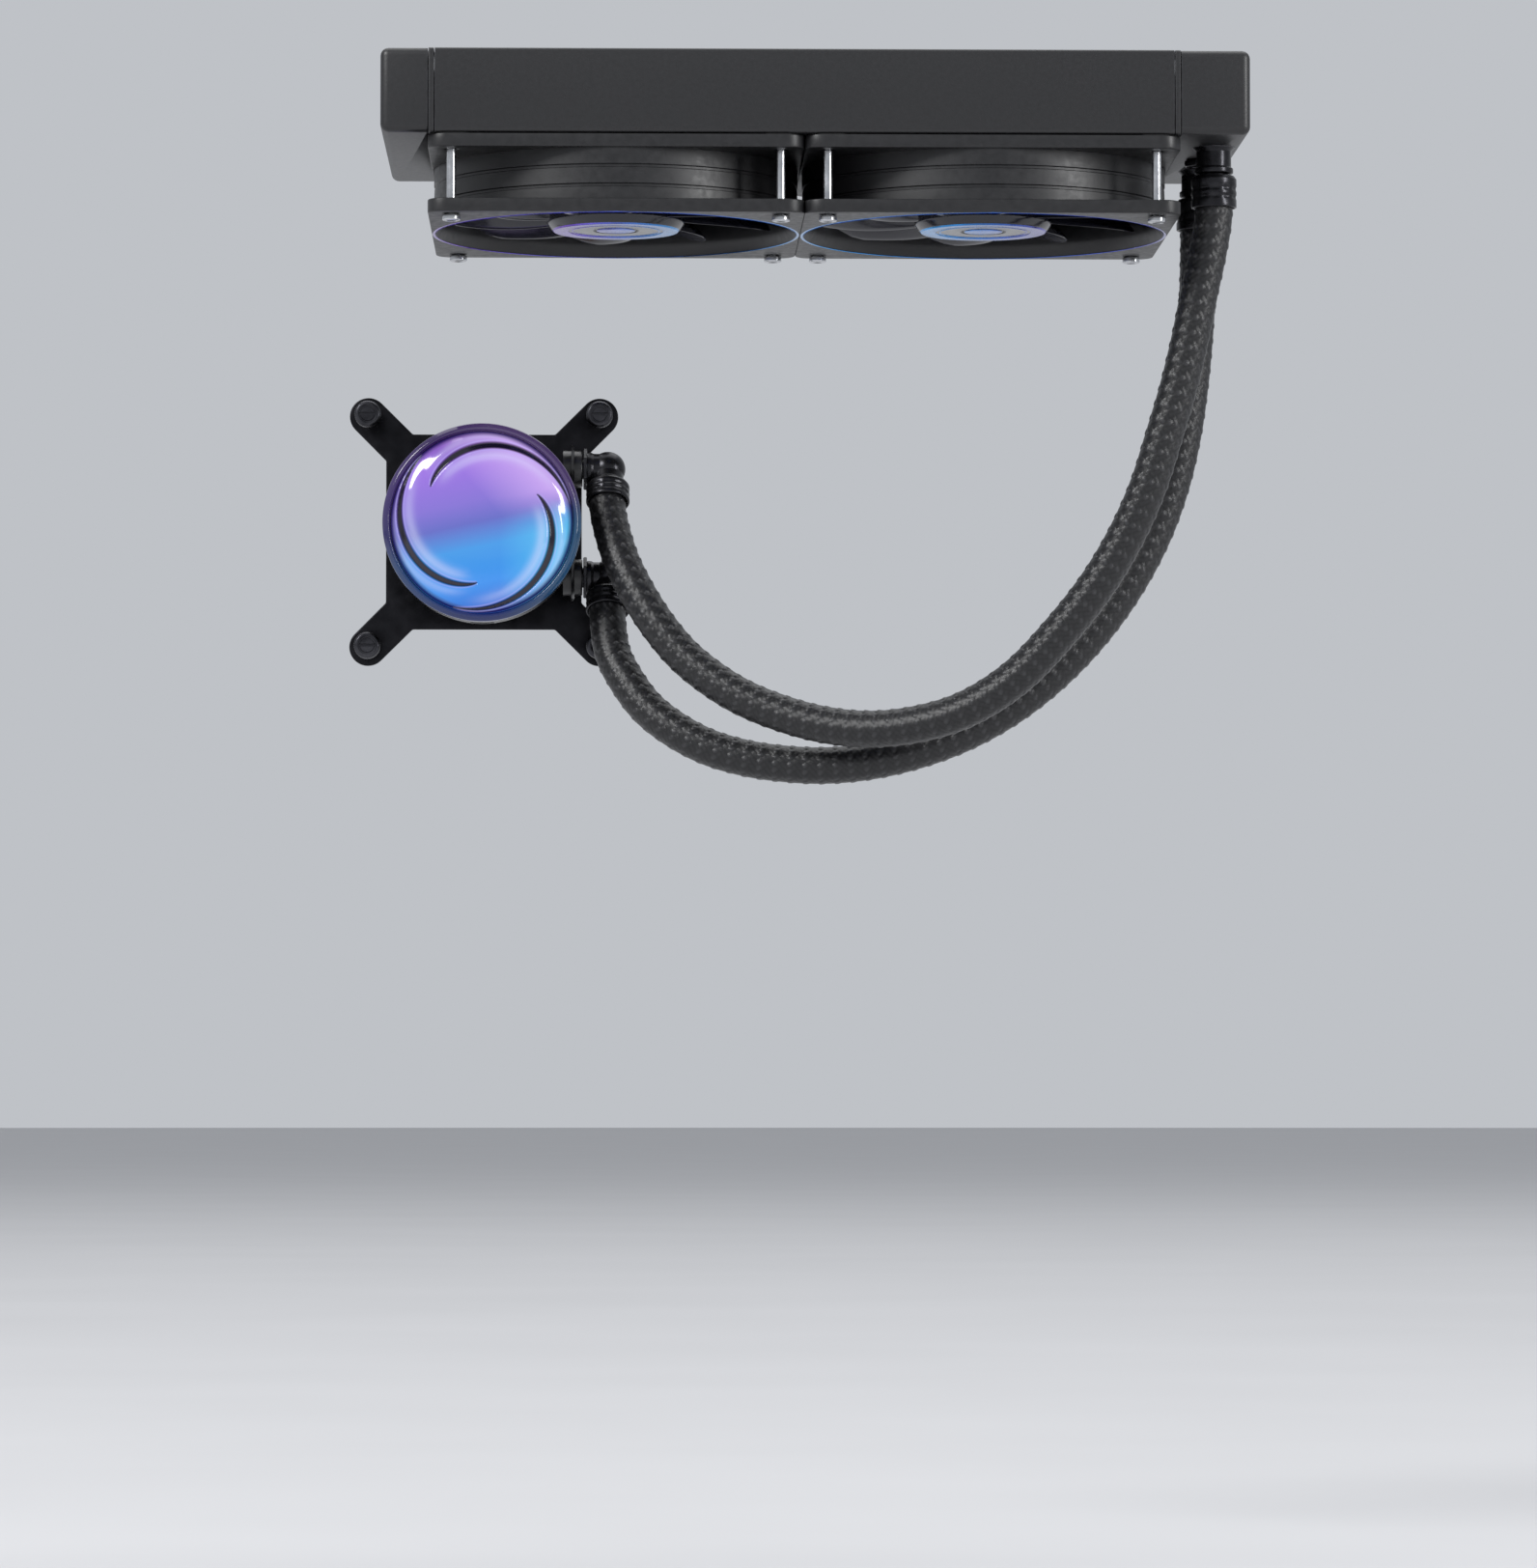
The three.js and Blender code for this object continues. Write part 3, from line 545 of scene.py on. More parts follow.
def winding_copper():
    look = Look("winding", (0.5, 0.2, 0.07), 0.35, 0.9)
    look.vary(400, 0.28, 0.42, (0.38, 0.14, 0.05), (0.62, 0.27, 0.1))
    rows = look.node("ShaderNodeTexWave", {"Vector": look.spot, "Scale": 900.0, "Distortion": 0.6},
                     bands_direction="DIAGONAL")
    look.bump(rows.outputs["Fac"], 0.00008, 0.8)
    return look.material


def circuit_board():
    look = Look("circuit_board", (0.01, 0.06, 0.03), 0.35, Coat_Weight=0.6, Coat_Roughness=0.15)
    values = {"Vector": look.spot, "Scale": 260.0, "Mortar Size": 0.04, "Color1": (0.008, 0.05, 0.025),
              "Color2": (0.012, 0.07, 0.035), "Mortar": (0.03, 0.14, 0.07)}
    tracks = look.node("ShaderNodeTexBrick", values)
    look.feed("Base Color", tracks.outputs["Color"])
    look.bump(tracks.outputs["Fac"], 0.00003, 0.4)
    return look.material


def glow_tint(look):
    """The lamps' colour over the pump's face: violet above, pink at the upper right, cyan below."""
    offset = look.node("ShaderNodeVectorMath", {0: look.spot, 1: CAP_CENTRE}, operation="SUBTRACT")
    parts = look.split(offset.outputs["Vector"])
    height = look.plus(parts["Z"], look.times(parts["X"], -0.22))
    tint = look.ramp(
        look.spread(height, -0.03, 0.03),
        (0.0, (0.012, 0.12, 0.62)), (0.16, (0.03, 0.28, 0.84)), (0.36, (0.055, 0.33, 0.8)),
        (0.5, (0.13, 0.15, 0.56)), (0.62, (0.24, 0.17, 0.66)), (0.84, (0.34, 0.17, 0.76)),
        (1.0, (0.2, 0.06, 0.44)),
    )
    right, up = look.times(parts["X"], 0.75), look.times(parts["Z"], 0.66)
    pink = look.spread(look.plus(right, up), 0.006, 0.024, 0.0, 0.8)
    above = look.spread(height, -0.004, 0.006)
    warm = look.mix(look.times(pink, above), tint, (0.66, 0.42, 0.92))
    side = look.spread(parts["X"], 0.006, 0.024, 0.0, 0.8)
    below = look.times(side, look.spread(height, 0.002, -0.008))
    return look.mix(below, warm, (0.1, 0.56, 0.9))


def swirl_cap():
    """Clear cap over the lamps: it glows between dark swirl grooves and is glossy all over. Its glow turns
    pale on the groove shoulders and along thin lines at the groove edges: painted highlights.
    """
    look = Look("swirl_cap", (0.02, 0.02, 0.06), 0.12, Coat_Weight=0.35, Coat_Roughness=0.03)
    tint = glow_tint(look)
    groove, line, shoulder, rim = (look.attribute(n) for n in ("groove", "line", "shoulder", "rim"))
    # Painted highlight: the glow turns pale on the groove shoulders.
    shoulder_painted_highlight = look.mix(look.times(shoulder, 0.42), tint, (0.72, 0.74, 1.0))
    dim = look.mix(rim, shoulder_painted_highlight, (0.008, 0.004, 0.07))
    dark = look.mix(groove, dim, (0.005, 0.003, 0.014))
    # Painted highlight: thin pale lines of glow along the groove edges.
    bright = look.mix(look.times(line, 0.55), dark, (0.5, 0.46, 0.95))
    look.glow(bright, 0.9)
    base = look.mix(0.93, tint, (0.005, 0.005, 0.02))
    look.feed("Base Color", look.mix(groove, base, (0.003, 0.003, 0.005)))
    look.gloss(260, 2, 0.07, 0.15)
    return look.material


def rim_glass():
    """Smoky glass band round the cap, lit from inside."""
    look = Look("rim_glass", (0.02, 0.01, 0.06), 0.1, Coat_Weight=0.4, Coat_Roughness=0.03)
    tint = glow_tint(look)
    look.glow(look.mix(0.84, tint, (0.003, 0.001, 0.05)), 0.32)
    look.feed("Base Color", look.mix(0.94, tint, (0.004, 0.002, 0.02)))
    look.gloss(300, 2, 0.08, 0.16)
    return look.material


def light_guide_glow():
    look = Look("light_guide", (0.5, 0.5, 0.6), 0.4)
    tint = glow_tint(look)
    look.glow(tint, 0.9)
    look.feed("Base Color", tint)
    look.bump(look.noise(1200, 2), 0.00002, 0.4)
    return look.material


COAT = worked("powder_coat", (0.008, 0.008, 0.009), (0.0102, 0.0102, 0.0116), 0.41, 0.46, patch=800,
              grain=1500, depth=0.00005, strength=0.6, rub=((0.07, 0.07, 0.08), 0.0005),
              Coat_Weight=0.12, Coat_Roughness=0.3)
FIN = worked("fin_metal", (0.012, 0.012, 0.014), (0.034, 0.034, 0.038), 0.28, 0.46, 0.35, 240,
             depth=0.00002, strength=0.4, stretch=(1, 1, 0.1))
TUBE = worked("tube_metal", (0.018, 0.018, 0.02), (0.045, 0.045, 0.05), 0.26, 0.42, 0.5, 120, 900, 3,
              strength=0.4, stretch=(0.1, 1, 1))
FITTING = worked("black_fitting", (0.02, 0.02, 0.023), (0.038, 0.038, 0.042), 0.22, 0.36, 0.85, 150, 2200,
                 depth=0.000012, rub=((0.22, 0.22, 0.24), 0.0003))
BRAID = braid()
FRAME_PLASTIC = moulded("frame_plastic", (0.008, 0.008, 0.009), (0.011, 0.011, 0.0125), 0.36, 0.48)
# The faint blue in the blades' colour is a painted reflection of coloured lamps.
BLADE_PLASTIC = moulded("blade_plastic", (0.007, 0.007, 0.012), (0.01, 0.01, 0.018), 0.14, 0.22,
                        0.00001, 0.3)
PUMP_PLASTIC = moulded("pump_plastic", (0.007, 0.007, 0.008), (0.01, 0.01, 0.0115), 0.28, 0.38,
                       0.00002, 0.15)
BRIGHT_STEEL = metal("bright_steel", (0.46, 0.47, 0.49), (0.62, 0.63, 0.65), 0.16, 0.28)
SPRING_STEEL = metal("spring_steel", (0.5, 0.5, 0.52), (0.68, 0.69, 0.71), 0.2, 0.32)
DARK_STEEL = metal("dark_steel", (0.035, 0.035, 0.04), (0.07, 0.07, 0.078), 0.26, 0.38)
BRACKET_STEEL = metal("bracket_steel", (0.014, 0.014, 0.016), (0.022, 0.022, 0.025), 0.34, 0.44)
COPPER = metal("copper", (0.72, 0.34, 0.21), (0.79, 0.4, 0.26), 0.2, 0.27, (1, 1, 0.03), 9000, 0.000004)
RUBBER = plain_solid("rubber", (0.008, 0.008, 0.008), (0.015, 0.015, 0.015), 0.7, 0.85)
FERRITE = plain_solid("ferrite", (0.03, 0.028, 0.026), (0.05, 0.046, 0.042), 0.55, 0.7, 0.4)
BRONZE = metal("bronze", (0.5, 0.3, 0.13), (0.66, 0.42, 0.2), 0.3, 0.45)
CERAMIC = plain_solid("ceramic", (0.62, 0.6, 0.56), (0.75, 0.73, 0.69), 0.3, 0.42)
WINDING = winding_copper()
BOARD = circuit_board()


# ---- camera
def add_camera():
    data = bpy.data.cameras.new("camera")
    data.lens = CAMERA_LENS
    data.clip_end = 60
    camera = add_object("camera", data)
    camera.location = CAMERA_PLACE
    camera.rotation_euler = (TURN / 4 + CAMERA_UP, 0, -CAMERA_RIGHT)
    SCENE.camera = camera


# ---- hoses
ELBOW_LEAN = radians(28)
MOUTH_REACH = 0.0084
STRAIGHT_END = 0.008
ROUTE_STEPS = 24
BRAID_YARNS = 16
YARN_SAMPLES = 6
YARN_DEPTH = 0.34


def route_line(route, level):
    """The whole centre line of a hose, in metres: its route, then straight into the elbow's mouth."""
    joint = JOINTS[f"elbow_{level}_swivel"]
    out = np.array((0, -sin(ELBOW_LEAN), -cos(ELBOW_LEAN)))
    mouth = np.array(joint["pos_m"]) + out * MOUTH_REACH
    points = [*np.round(np.array(route) * MM, 6), mouth + out * STRAIGHT_END, mouth]
    points = [2 * points[0] - points[1], *points, 2 * points[-1] - points[-2]]
    line = []
    for p0, p1, p2, p3 in zip(points, points[1:], points[2:], points[3:]):
        a, b, c = (sqrt(np.linalg.norm(q - p)) for p, q in ((p0, p1), (p1, p2), (p2, p3)))
        t1 = ((p1 - p0) / a - (p2 - p0) / (a + b) + (p2 - p1) / b) * b
        t2 = ((p2 - p1) / b - (p3 - p1) / (b + c) + (p3 - p2) / c) * b
        for k in range(ROUTE_STEPS):
            u = k / ROUTE_STEPS
            line.append(p1 * (2 * u**3 - 3 * u**2 + 1) + t1 * (u**3 - 2 * u**2 + u)
                        + p2 * (3 * u**2 - 2 * u**3) + t2 * (u**3 - u**2))
    line.append(points[-2])
    return np.array(line)


def even_line(line, step):
    """The same line with points a step apart."""
    lengths = np.r_[0, np.cumsum(np.linalg.norm(np.diff(line, axis=0), axis=1))]
    places = np.linspace(0, lengths[-1], max(2, round(lengths[-1] / step) + 1))
    return np.column_stack([np.interp(places, lengths, line[:, k]) for k in range(3)]), lengths[-1]


def braid_height(right, left):
    """How proud the sleeve stands, from 0 to 1, where two sets of yarns pass two over, two under."""
    right_yarn, left_yarn = np.floor(right + 1e-6), np.floor(left + 1e-6)
    on_top = np.mod(right_yarn - left_yarn, 4) < 2
    within = np.mod(np.where(on_top, right, left) + 1e-6, 1)
    run = np.where(on_top, np.mod(right_yarn - left, 4), np.mod(left_yarn - right - 2, 4))
    crown = 1 - np.abs(2 * within - 1) ** 2.4
    arch = np.clip(np.sin(pi * np.clip(run, 0, 2) / 2), 0, 1) ** 0.55
    return crown * (0.3 + 0.7 * arch)


def add_hose(name, route, level):
    line_m = route_line(route, level)
    around = BRAID_YARNS * YARN_SAMPLES
    pitch = TURN * HOSE_RADIUS / BRAID_YARNS
    line, length = even_line(line_m, pitch / YARN_SAMPLES * MM)
    turn = np.arange(around) / YARN_SAMPLES
    along = np.arange(len(line))[:, None] / YARN_SAMPLES
    height = braid_height(turn + along, turn - along)
    radius = (HOSE_RADIUS - YARN_DEPTH + YARN_DEPTH * height) * MM
    points = line[:, None] + radius[..., None] * rings_along(line, turn / BRAID_YARNS * TURN)
    mesh = bpy.data.meshes.new(f"{name}_braid")
    mesh.from_pydata(points.reshape(-1, 3).tolist(), [], closed_tube(len(line), around))
    weave = mesh.uv_layers.new(name="weave")
    i, j = np.divmod(np.arange((len(line) - 1) * around), around)
    u = np.stack([j, j + 1, j + 1, j], -1) / YARN_SAMPLES
    v = np.stack([i, i, i + 1, i + 1], -1) / YARN_SAMPLES
    coordinates = np.zeros((len(mesh.loops), 2), np.float32)
    coordinates[: 4 * len(i)] = np.stack([u, v], -1).reshape(-1, 2)
    weave.data.foreach_set("uv", coordinates.ravel())
    stand = mesh.attributes.new("height", "FLOAT", "POINT")
    stand.data.foreach_set("value", height.ravel().astype(np.float32))
    mesh.shade_smooth()
    mesh.materials.append(BRAID)
    obj = add_object(f"{name}_braid", mesh)
    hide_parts(name)
    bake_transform(obj)


# ---- radiator
SIDES = (("front", -1), ("back", 1))
RADIATOR_HALF = 60
FAN_SPACING = 60
SCREW_OFFSET = 52.5
# Stands a prism on end: its X, Y and height become Y, Z and X.
ALONG_X = Matrix(((0, 0, 1, 0), (1, 0, 0, 0), (0, 1, 0, 0), (0, 0, 0, 1)))


def add_tanks():
    """End tanks, rounded everywhere but against their header plates, and the plates."""
    for name, inner_side in (("end_tank_left", 1), ("end_tank_right", 0)):
        low, high = box_mm(name)
        inner = (low, high)[inner_side][0]
        shape = block(low[0], high[0], low[1], high[1], low[2], high[2])
        body = softened(shape, 2.6, 5, keep=lambda p, x=inner: abs(p.x - x) < 0.1)
        fixed(name + "_shell", body, WORLD, COAT, "radiator_shell", name, sharp=50)
    for side in ("left", "right"):
        low, high = box_mm(f"header_plate_{side}")
        outline = rounded_box((high[1] - low[1]) / 2, (high[2] - low[2]) / 2, 1.2, 4)
        place = WORLD @ shift(*middle_mm(f"header_plate_{side}")) @ spin(TURN / 4) @ spin(TURN / 4, "X")
        half = (high[0] - low[0]) / 2
        body = softened(prism(outline, -half, half), 0.3)
        fixed(f"header_{side}", body, place, COAT, "radiator_shell", f"header_plate_{side}")


def add_side_frames():
    """Folded side channels with the eight screw holes above and below."""
    for side, sign in SIDES:
        low, high = box_mm(f"side_frame_{side}")
        deep, tall, sheet = high[1] - low[1], high[2] - low[2], 1.2
        section = rounded([
            (0, 0, 1.1), (0, -tall, 1.1), (deep, -tall, 0.3), (deep, sheet - tall, 0.3),
            (sheet, sheet - tall, 0.4), (sheet, -sheet, 0.4), (deep, -sheet, 0.3), (deep, 0, 0.3),
        ])
        channel = prism([(sign * (RADIATOR_HALF - a), z) for a, z in section], low[0], high[0])
        obj = make(f"side_channel_{side}", channel, WORLD @ ALONG_X, COAT)
        holes = Shape()
        for fan_x in (-FAN_SPACING, FAN_SPACING):
            for offset in (-SCREW_OFFSET, SCREW_OFFSET):
                hole = prism(circle(2.1, 24), -tall - 2, 2)
                holes.add(hole, shift(fan_x + offset, sign * SCREW_OFFSET))
        cut(obj, holes, WORLD)
        fit(obj, "chassis", "radiator_shell", f"side_frame_{side}")


def add_core():
    """Flat tubes with a folded fin between each two."""
    low, high = box_mm("radiator_core")
    count, wide = 12, 2.0
    pitch = (high[1] - low[1] - wide) / (count - 1)
    gap = pitch - wide
    half_tall = (high[2] - low[2]) / 2
    z = (high[2] + low[2]) / 2
    tube = prism(rounded_box(wide / 2, half_tall, 0.95, 5), low[0], high[0])
    tubes, fins = Shape(), Shape()
    for i in range(count):
        tubes.add(tube, ALONG_X @ shift(low[1] + wide / 2 + i * pitch, z))
    for i in range(count - 1):
        y = low[1] + wide + i * pitch + gap / 2
        fins.add(folded_fin(low[0] + 0.5, high[0] - 0.5, y, gap / 2 - 0.05, z, half_tall - 0.6))
    fixed("radiator_tubes", tubes, WORLD, TUBE, "radiator_core", "radiator_core")
    fixed("radiator_fins", fins, WORLD, FIN, "radiator_core", sharp=60)


def folded_fin(x0, x1, y, reach, z, half_tall):
    """A strip folded to and fro between two tubes, with its edges towards the air."""
    period, thick, samples = 2.6, 0.16, 8
    folds = int((x1 - x0) / period)
    u = np.arange(folds * samples + 1) / samples
    wave = np.clip(1.25 * np.sin(u * TURN), -1, 1)
    x = x0 + (x1 - x0) * u / folds
    side = np.gradient(wave * reach, x)
    across = np.column_stack([-side, np.ones(len(u))])
    across /= np.linalg.norm(across, axis=1)[:, None]
    middle = np.column_stack([x, y + wave * reach])
    rows = []
    for way, level in ((1, -1), (1, 1), (-1, 1), (-1, -1)):
        skin = middle + way * thick / 2 * across
        rows.append(np.column_stack([skin, np.full(len(u), z + level * half_tall)]))
    return np.stack(rows, 1).reshape(-1, 3), closed_tube(len(u), 4)


def hexagon(flat, sides):
    """Radii of a hexagon over a lathe's sides."""
    angles = round_angles(sides)
    return flat / np.cos(np.mod(angles + TURN / 12, TURN / 6) - TURN / 12)


def add_ports():
    for side, _ in SIDES:
        x, y, _ = middle_mm(f"port_{side}")
        body = turned(64, 4, [
            (2.8, -41.5, 0.3), (4.6, -41.5, 0.4), (4.6, -35.6, 0.4), (6.25, -35.4, 0.4), (6.25, -33.8, 0.4),
            (5.6, -33.4, 0.4), (5.6, -28.3, 0.5), (6.9, -27.05), (4.2, -26.95), (4.2, -24.6), (2.8, -24.6),
        ])
        fixed(f"port_stub_{side}", body, WORLD @ shift(x, y), FITTING, "fitting_metal", f"port_{side}")
        node = f"hose_collar_{side}"
        bottom, top = (corner[2] for corner in box_mm(node))
        place = WORLD @ shift(x, y, top) @ spin(TURN / 2, "X")
        fixed(f"ferrule_{side}", ferrule(0, top - bottom), place, FITTING, "fitting_metal", node)
    socket = hexagon(2.0, 48)
    section = [(0, -28.0), (socket, -28.0), (socket, -29.1), (socket + 0.2, -29.3)]
    section += rounded([(4.2, -29.3), (5, -29.3, 0.7), (5, -27.3, 0.3), (3, -27.3)])
    section += [(3, -24.4), (0, -24.4)]
    x, y, _ = middle_mm("fill_plug")
    fixed("fill_plug_head", lathe(section, 48), WORLD @ shift(x, y), FITTING, "fitting_metal", "fill_plug")


def ferrule(low, high, neck=4.9, inner=6.42, outer=7.3):
    """Crimped collar about Z: a lip on the neck, two pressed rings and a rolled mouth over the hose."""
    sides, teeth = 96, 12
    dents = 0.16 * (0.5 + 0.5 * np.cos(round_angles(sides) * teeth))
    section = [(neck, low)]
    section += rounded([(5.9, low), (6.5, low, 0.5), (outer, low + 1.2, 0.5), (outer, low + 2)], 3)
    for share in (0.42, 0.68):
        z = low + (high - low) * share
        edge = outer - 0.12 - dents
        section += [(outer, z - 0.9), (edge, z - 0.45), (outer - 0.2 - dents * 1.4, z), (edge, z + 0.45),
                    (outer, z + 0.9)]
    section += rounded([(outer, high - 0.8), (outer, high, 0.35), (inner, high, 0.35), (inner, high - 1)], 3)
    section += [(inner, low + 5), (neck, low + 5)]
    return lathe(section, sides)


# ---- fans
FAN_DEEP = 25.0
FAN_HALF = 60.0
FAN_MOUTH = 59.0
FAN_THROAT = 57.2
FAN_HUB = 22.5
FAN_TIP = 56.0
FAN_REST = radians(13)
FLANGE = 4.3
BARREL = 59.3
FAN_SCREW = 30.0
CORNERS = [(-1, -1), (1, -1), (1, 1), (-1, 1)]


def fan_frame():
    """Square flanges, a ridged barrel with a bell mouth, and the struts that hold the hub plate."""
    shape = Shape()
    holes = [circle(2.1, 24, x * SCREW_OFFSET, y * SCREW_OFFSET) for x in (-1, 1) for y in (-1, 1)]
    for low, high in ((0, FLANGE), (FAN_DEEP - FLANGE, FAN_DEEP)):
        outline = rounded_box(FAN_HALF, FAN_HALF, 6, 10)
        shape.add(softened(plate(outline, [circle(FAN_MOUTH + 0.12, 128), *holes], low, high), 0.45, 3))
    section = [(FAN_MOUTH + 0.3, 0.05)]
    for f in np.arange(9) / 8:
        flare = (FAN_MOUTH - FAN_THROAT) * (1 - sin(f * TURN / 4))
        section.append((FAN_THROAT + flare, 0.05 + 4.6 * f))
    section += [(FAN_THROAT, 21.0), (FAN_THROAT + 0.4, 23.0), (58.4, FAN_DEEP - 0.05),
                (BARREL, FAN_DEEP - 0.05), (BARREL, 20.4)]
    for z in (14.8, 8.6):
        section += [(BARREL, z + 0.75), (58.8, z + 0.45), (58.8, z - 0.25), (59.15, z - 0.5)]
    shape.add(lathe([*section, (BARREL, 4.6)], 160))
    shape.add(turned(72, 4, [(0, 22.6), (23, 22.6, 0.5), (23, FAN_DEEP, 0.8), (16, FAN_DEEP, 0.2),
                             (15.6, 24.6, 0.2), (0, 24.6)]))
    shape.add(turned(40, 3, [(4, 8), (5, 8, 0.3), (5, 22.8), (4, 22.8)]))
    for i in range(4):
        half_wide = 3.4 if i == 0 else 2.0
        strut = softened(block(22, 58.6, -half_wide, half_wide, 22.3, 24.8), 0.8, 3)
        shape.add(strut, spin(i * TURN / 4 + 0.5))
    return shape


def fan_blade(lead):
    """A twisted, cambered blade with a round nose and a thin tail."""
    spans, across = 18, 12
    rings = []
    for i in range(spans + 1):
        f = i / spans
        r = FAN_HUB - 0.5 + f * (FAN_TIP - FAN_HUB + 0.5)
        pitch = radians(48 - 22 * f)
        chord = 19 + 15 * f
        half = 0.95 - 0.3 * f
        swept = lead + 0.42 * f * f
        trim = 1 - 0.35 * max(0.0, (f - 0.9) / 0.1) ** 2
        u = 0.5 * np.cos(np.linspace(0, pi, across + 1)) * trim
        bow = 2.2 * (0.25 - u * u)
        along = u * chord * cos(pitch) - bow * sin(pitch)
        z = 11.2 + u * chord * sin(pitch) + bow * cos(pitch)
        slim = half * np.sqrt(np.clip(1 - (2 * u / trim) ** 4, 0.0, 1)) + 0.1
        for way in (1, -1):
            a = swept + along / r - way * slim * sin(pitch) / r
            skin = np.column_stack([r * np.cos(a), r * np.sin(a), z + way * slim * cos(pitch)])
            rings.append(skin if way > 0 else skin[::-1])
    return np.vstack(rings), closed_tube(spans + 1, 2 * (across + 1))


def fan_rotor():
    cup = [(0, 1.5), (6.4, 1.5, 0.1), (6.7, 1.9, 0.1), (7.3, 1.9, 0.1), (7.6, 1.45, 0.1), (15.6, 1.35, 0.1),
           (15.9, 1.8, 0.1), (17.2, 1.8, 0.1), (17.5, 1.3, 0.1), (20.6, 1.35, 1.6), (FAN_HUB, 3.8, 1.6),
           (FAN_HUB, 20.4, 0.3), (21.1, 20.4), (21.1, 3.4), (3.2, 3.4), (3.2, 6.4), (1.8, 6.4), (1.8, 2.9),
           (0, 2.9)]
    shape = Shape(turned(96, 4, cup))
    for i in range(9):
        shape.add(fan_blade(i * TURN / 9 + FAN_REST))
    return shape


def fan_screw():
    """Long fan screw: button head with a hex socket, and a thread at its far end."""
    sides, threads, thread_start = 36, 16, 20.5
    socket = hexagon(1.3, sides)
    section = [(0, -1.2), (socket, -1.2), (socket, -2.2), (socket + 0.15, -2.3)]
    section += rounded([(2.0, -2.3), (2.9, -2.1, 0.5), (2.9, -0.3, 0.2), (1.5, -0.3)])
    section += [(1.5, -0.25), (1.5, thread_start)]
    for k in range(threads):
        z = thread_start + k * (FAN_SCREW - 0.7 - thread_start) / threads
        section += [(1.5, z + 0.1), (1.28, z + 0.35)]
    section += [(1.2, FAN_SCREW - 0.1), (0, FAN_SCREW - 0.1)]
    return lathe(section, sides)


def add_fan(side, rim_reflection_look, hub_reflection_look):
    place = fan_place(side)
    at = f"fan_{side}_"
    body = f"rotor_{side}"
    fixed(at + "housing", fan_frame(), place, FRAME_PLASTIC, "fan_frame", at + "frame")
    # The mouth rim and the hub rings carry a painted reflection of coloured lamps in their tinted gloss.
    lip = [(FAN_MOUTH - 0.55, 0.35, 0.3), (FAN_MOUTH - 0.15, -0.05, 0.2), (FAN_MOUTH + 0.75, -0.05, 0.2),
           (FAN_MOUTH + 0.9, 0.3)]
    fixed(at + "mouth_rim", turned(160, 3, lip), place, rim_reflection_look, "fan_frame")
    fit(make(at + "impeller", fan_rotor(), place, BLADE_PLASTIC), body, "fan_blades", at + "rotor")
    rings = {
        "hub_band": turned(96, 4, [(15.4, 1.9), (15.4, 1.1, 0.3), (20.3, 1.1, 0.6), (20.9, 1.9)]),
        "hub_line": turned(96, 3, [(13.9, 1.9), (13.9, 1.2, 0.2), (14.5, 1.2, 0.2), (14.5, 1.9)]),
        "hub_disc": turned(64, 3, [(0, 1.05), (5.0, 1.15), (6.3, 1.35, 0.2), (6.3, 1.9), (0, 1.9)]),
    }
    for name, ring in rings.items():
        fit(make(at + name, ring, place, hub_reflection_look), body, "fan_blades")
    for i, (x, y) in enumerate(CORNERS, 1):
        spot = place @ shift(x * SCREW_OFFSET, y * SCREW_OFFSET)
        fixed(f"{at}long_screw_{i}", fan_screw(), spot, BRIGHT_STEEL, "bright_steel", f"{at}screw_{i}")
        fixed(f"{at}pad_{i}", corner_pad(x, y), place, RUBBER, "seal_rubber")


def corner_pad(x, y):
    """Thin rubber pad on the radiator side of a fan's corner."""
    edge = FAN_HALF - 0.8
    outline = rounded([(edge, 45, 1.5), (edge, edge, 5), (45, edge, 1.5), (51.5, 51.5, 4)], 5)
    hole = circle(2.4, 24, x * SCREW_OFFSET, y * SCREW_OFFSET)
    return plate([(a * x, b * y) for a, b in outline], [hole], FAN_DEEP - 0.02, FAN_DEEP + 0.26)


# ---- pump head
ELBOW_X = 41.8
NUT = 39.0
DOME_R = 30.2


def cap_height(r):
    f = np.minimum(1, r / DOME_R)
    return 51.6 - 1.6 * f**2 - 3.2 * f**8


def swirl_reach(share):
    """Radius of a groove's middle, from its inner end (share 0) to its outer end (share 1)."""
    return 20.4 + 9.4 * np.clip(share, 0, 1) ** 0.78


def swirl_masks(r, angle):
    """The three swirl grooves from 0 to 1, the thin lines along their edges that the cap paints as
    highlights, and the rounded shoulders between one groove and the next, which raise the surface and also
    carry a painted highlight."""
    groove = np.zeros(np.broadcast(r, angle).shape)
    line = np.zeros_like(groove)
    shoulder = np.zeros_like(groove)
    for arm in range(3):
        share = np.mod(arm * TURN / 3 + 2.55 - angle, TURN) / 2.35
        inside = (share < 1).astype(float)
        swell = np.clip(np.sin(pi * np.clip(share, 0, 1) ** 0.75), 0, 1) ** 0.7
        wide = 0.15 + 1.5 * swell
        off = r - swirl_reach(share)
        groove = np.maximum(groove, inside * np.clip(1.7 * (1 - np.abs(off) / wide), 0, 1))
        # Thin lines along the groove edges, painted as highlights in the cap's glow.
        edges = np.exp(-(((off - wide * 1.03) / 0.2) ** 2)) + np.exp(-(((off + wide * 1.03) / 0.2) ** 2))
        line = np.maximum(line, inside * edges * np.clip(4 * swell, 0, 1))
        rise = np.exp(-(((off + wide + 1.9) / 1.7) ** 2)) + 0.7 * np.exp(-(((off - wide - 1.6) / 1.3) ** 2))
        fade = np.clip(share / 0.18, 0, 1) * np.clip((1 - share) / 0.2, 0, 1)
        shoulder = np.maximum(shoulder, inside * swell * rise * fade * fade * (3 - 2 * fade))
    return groove, line, shoulder


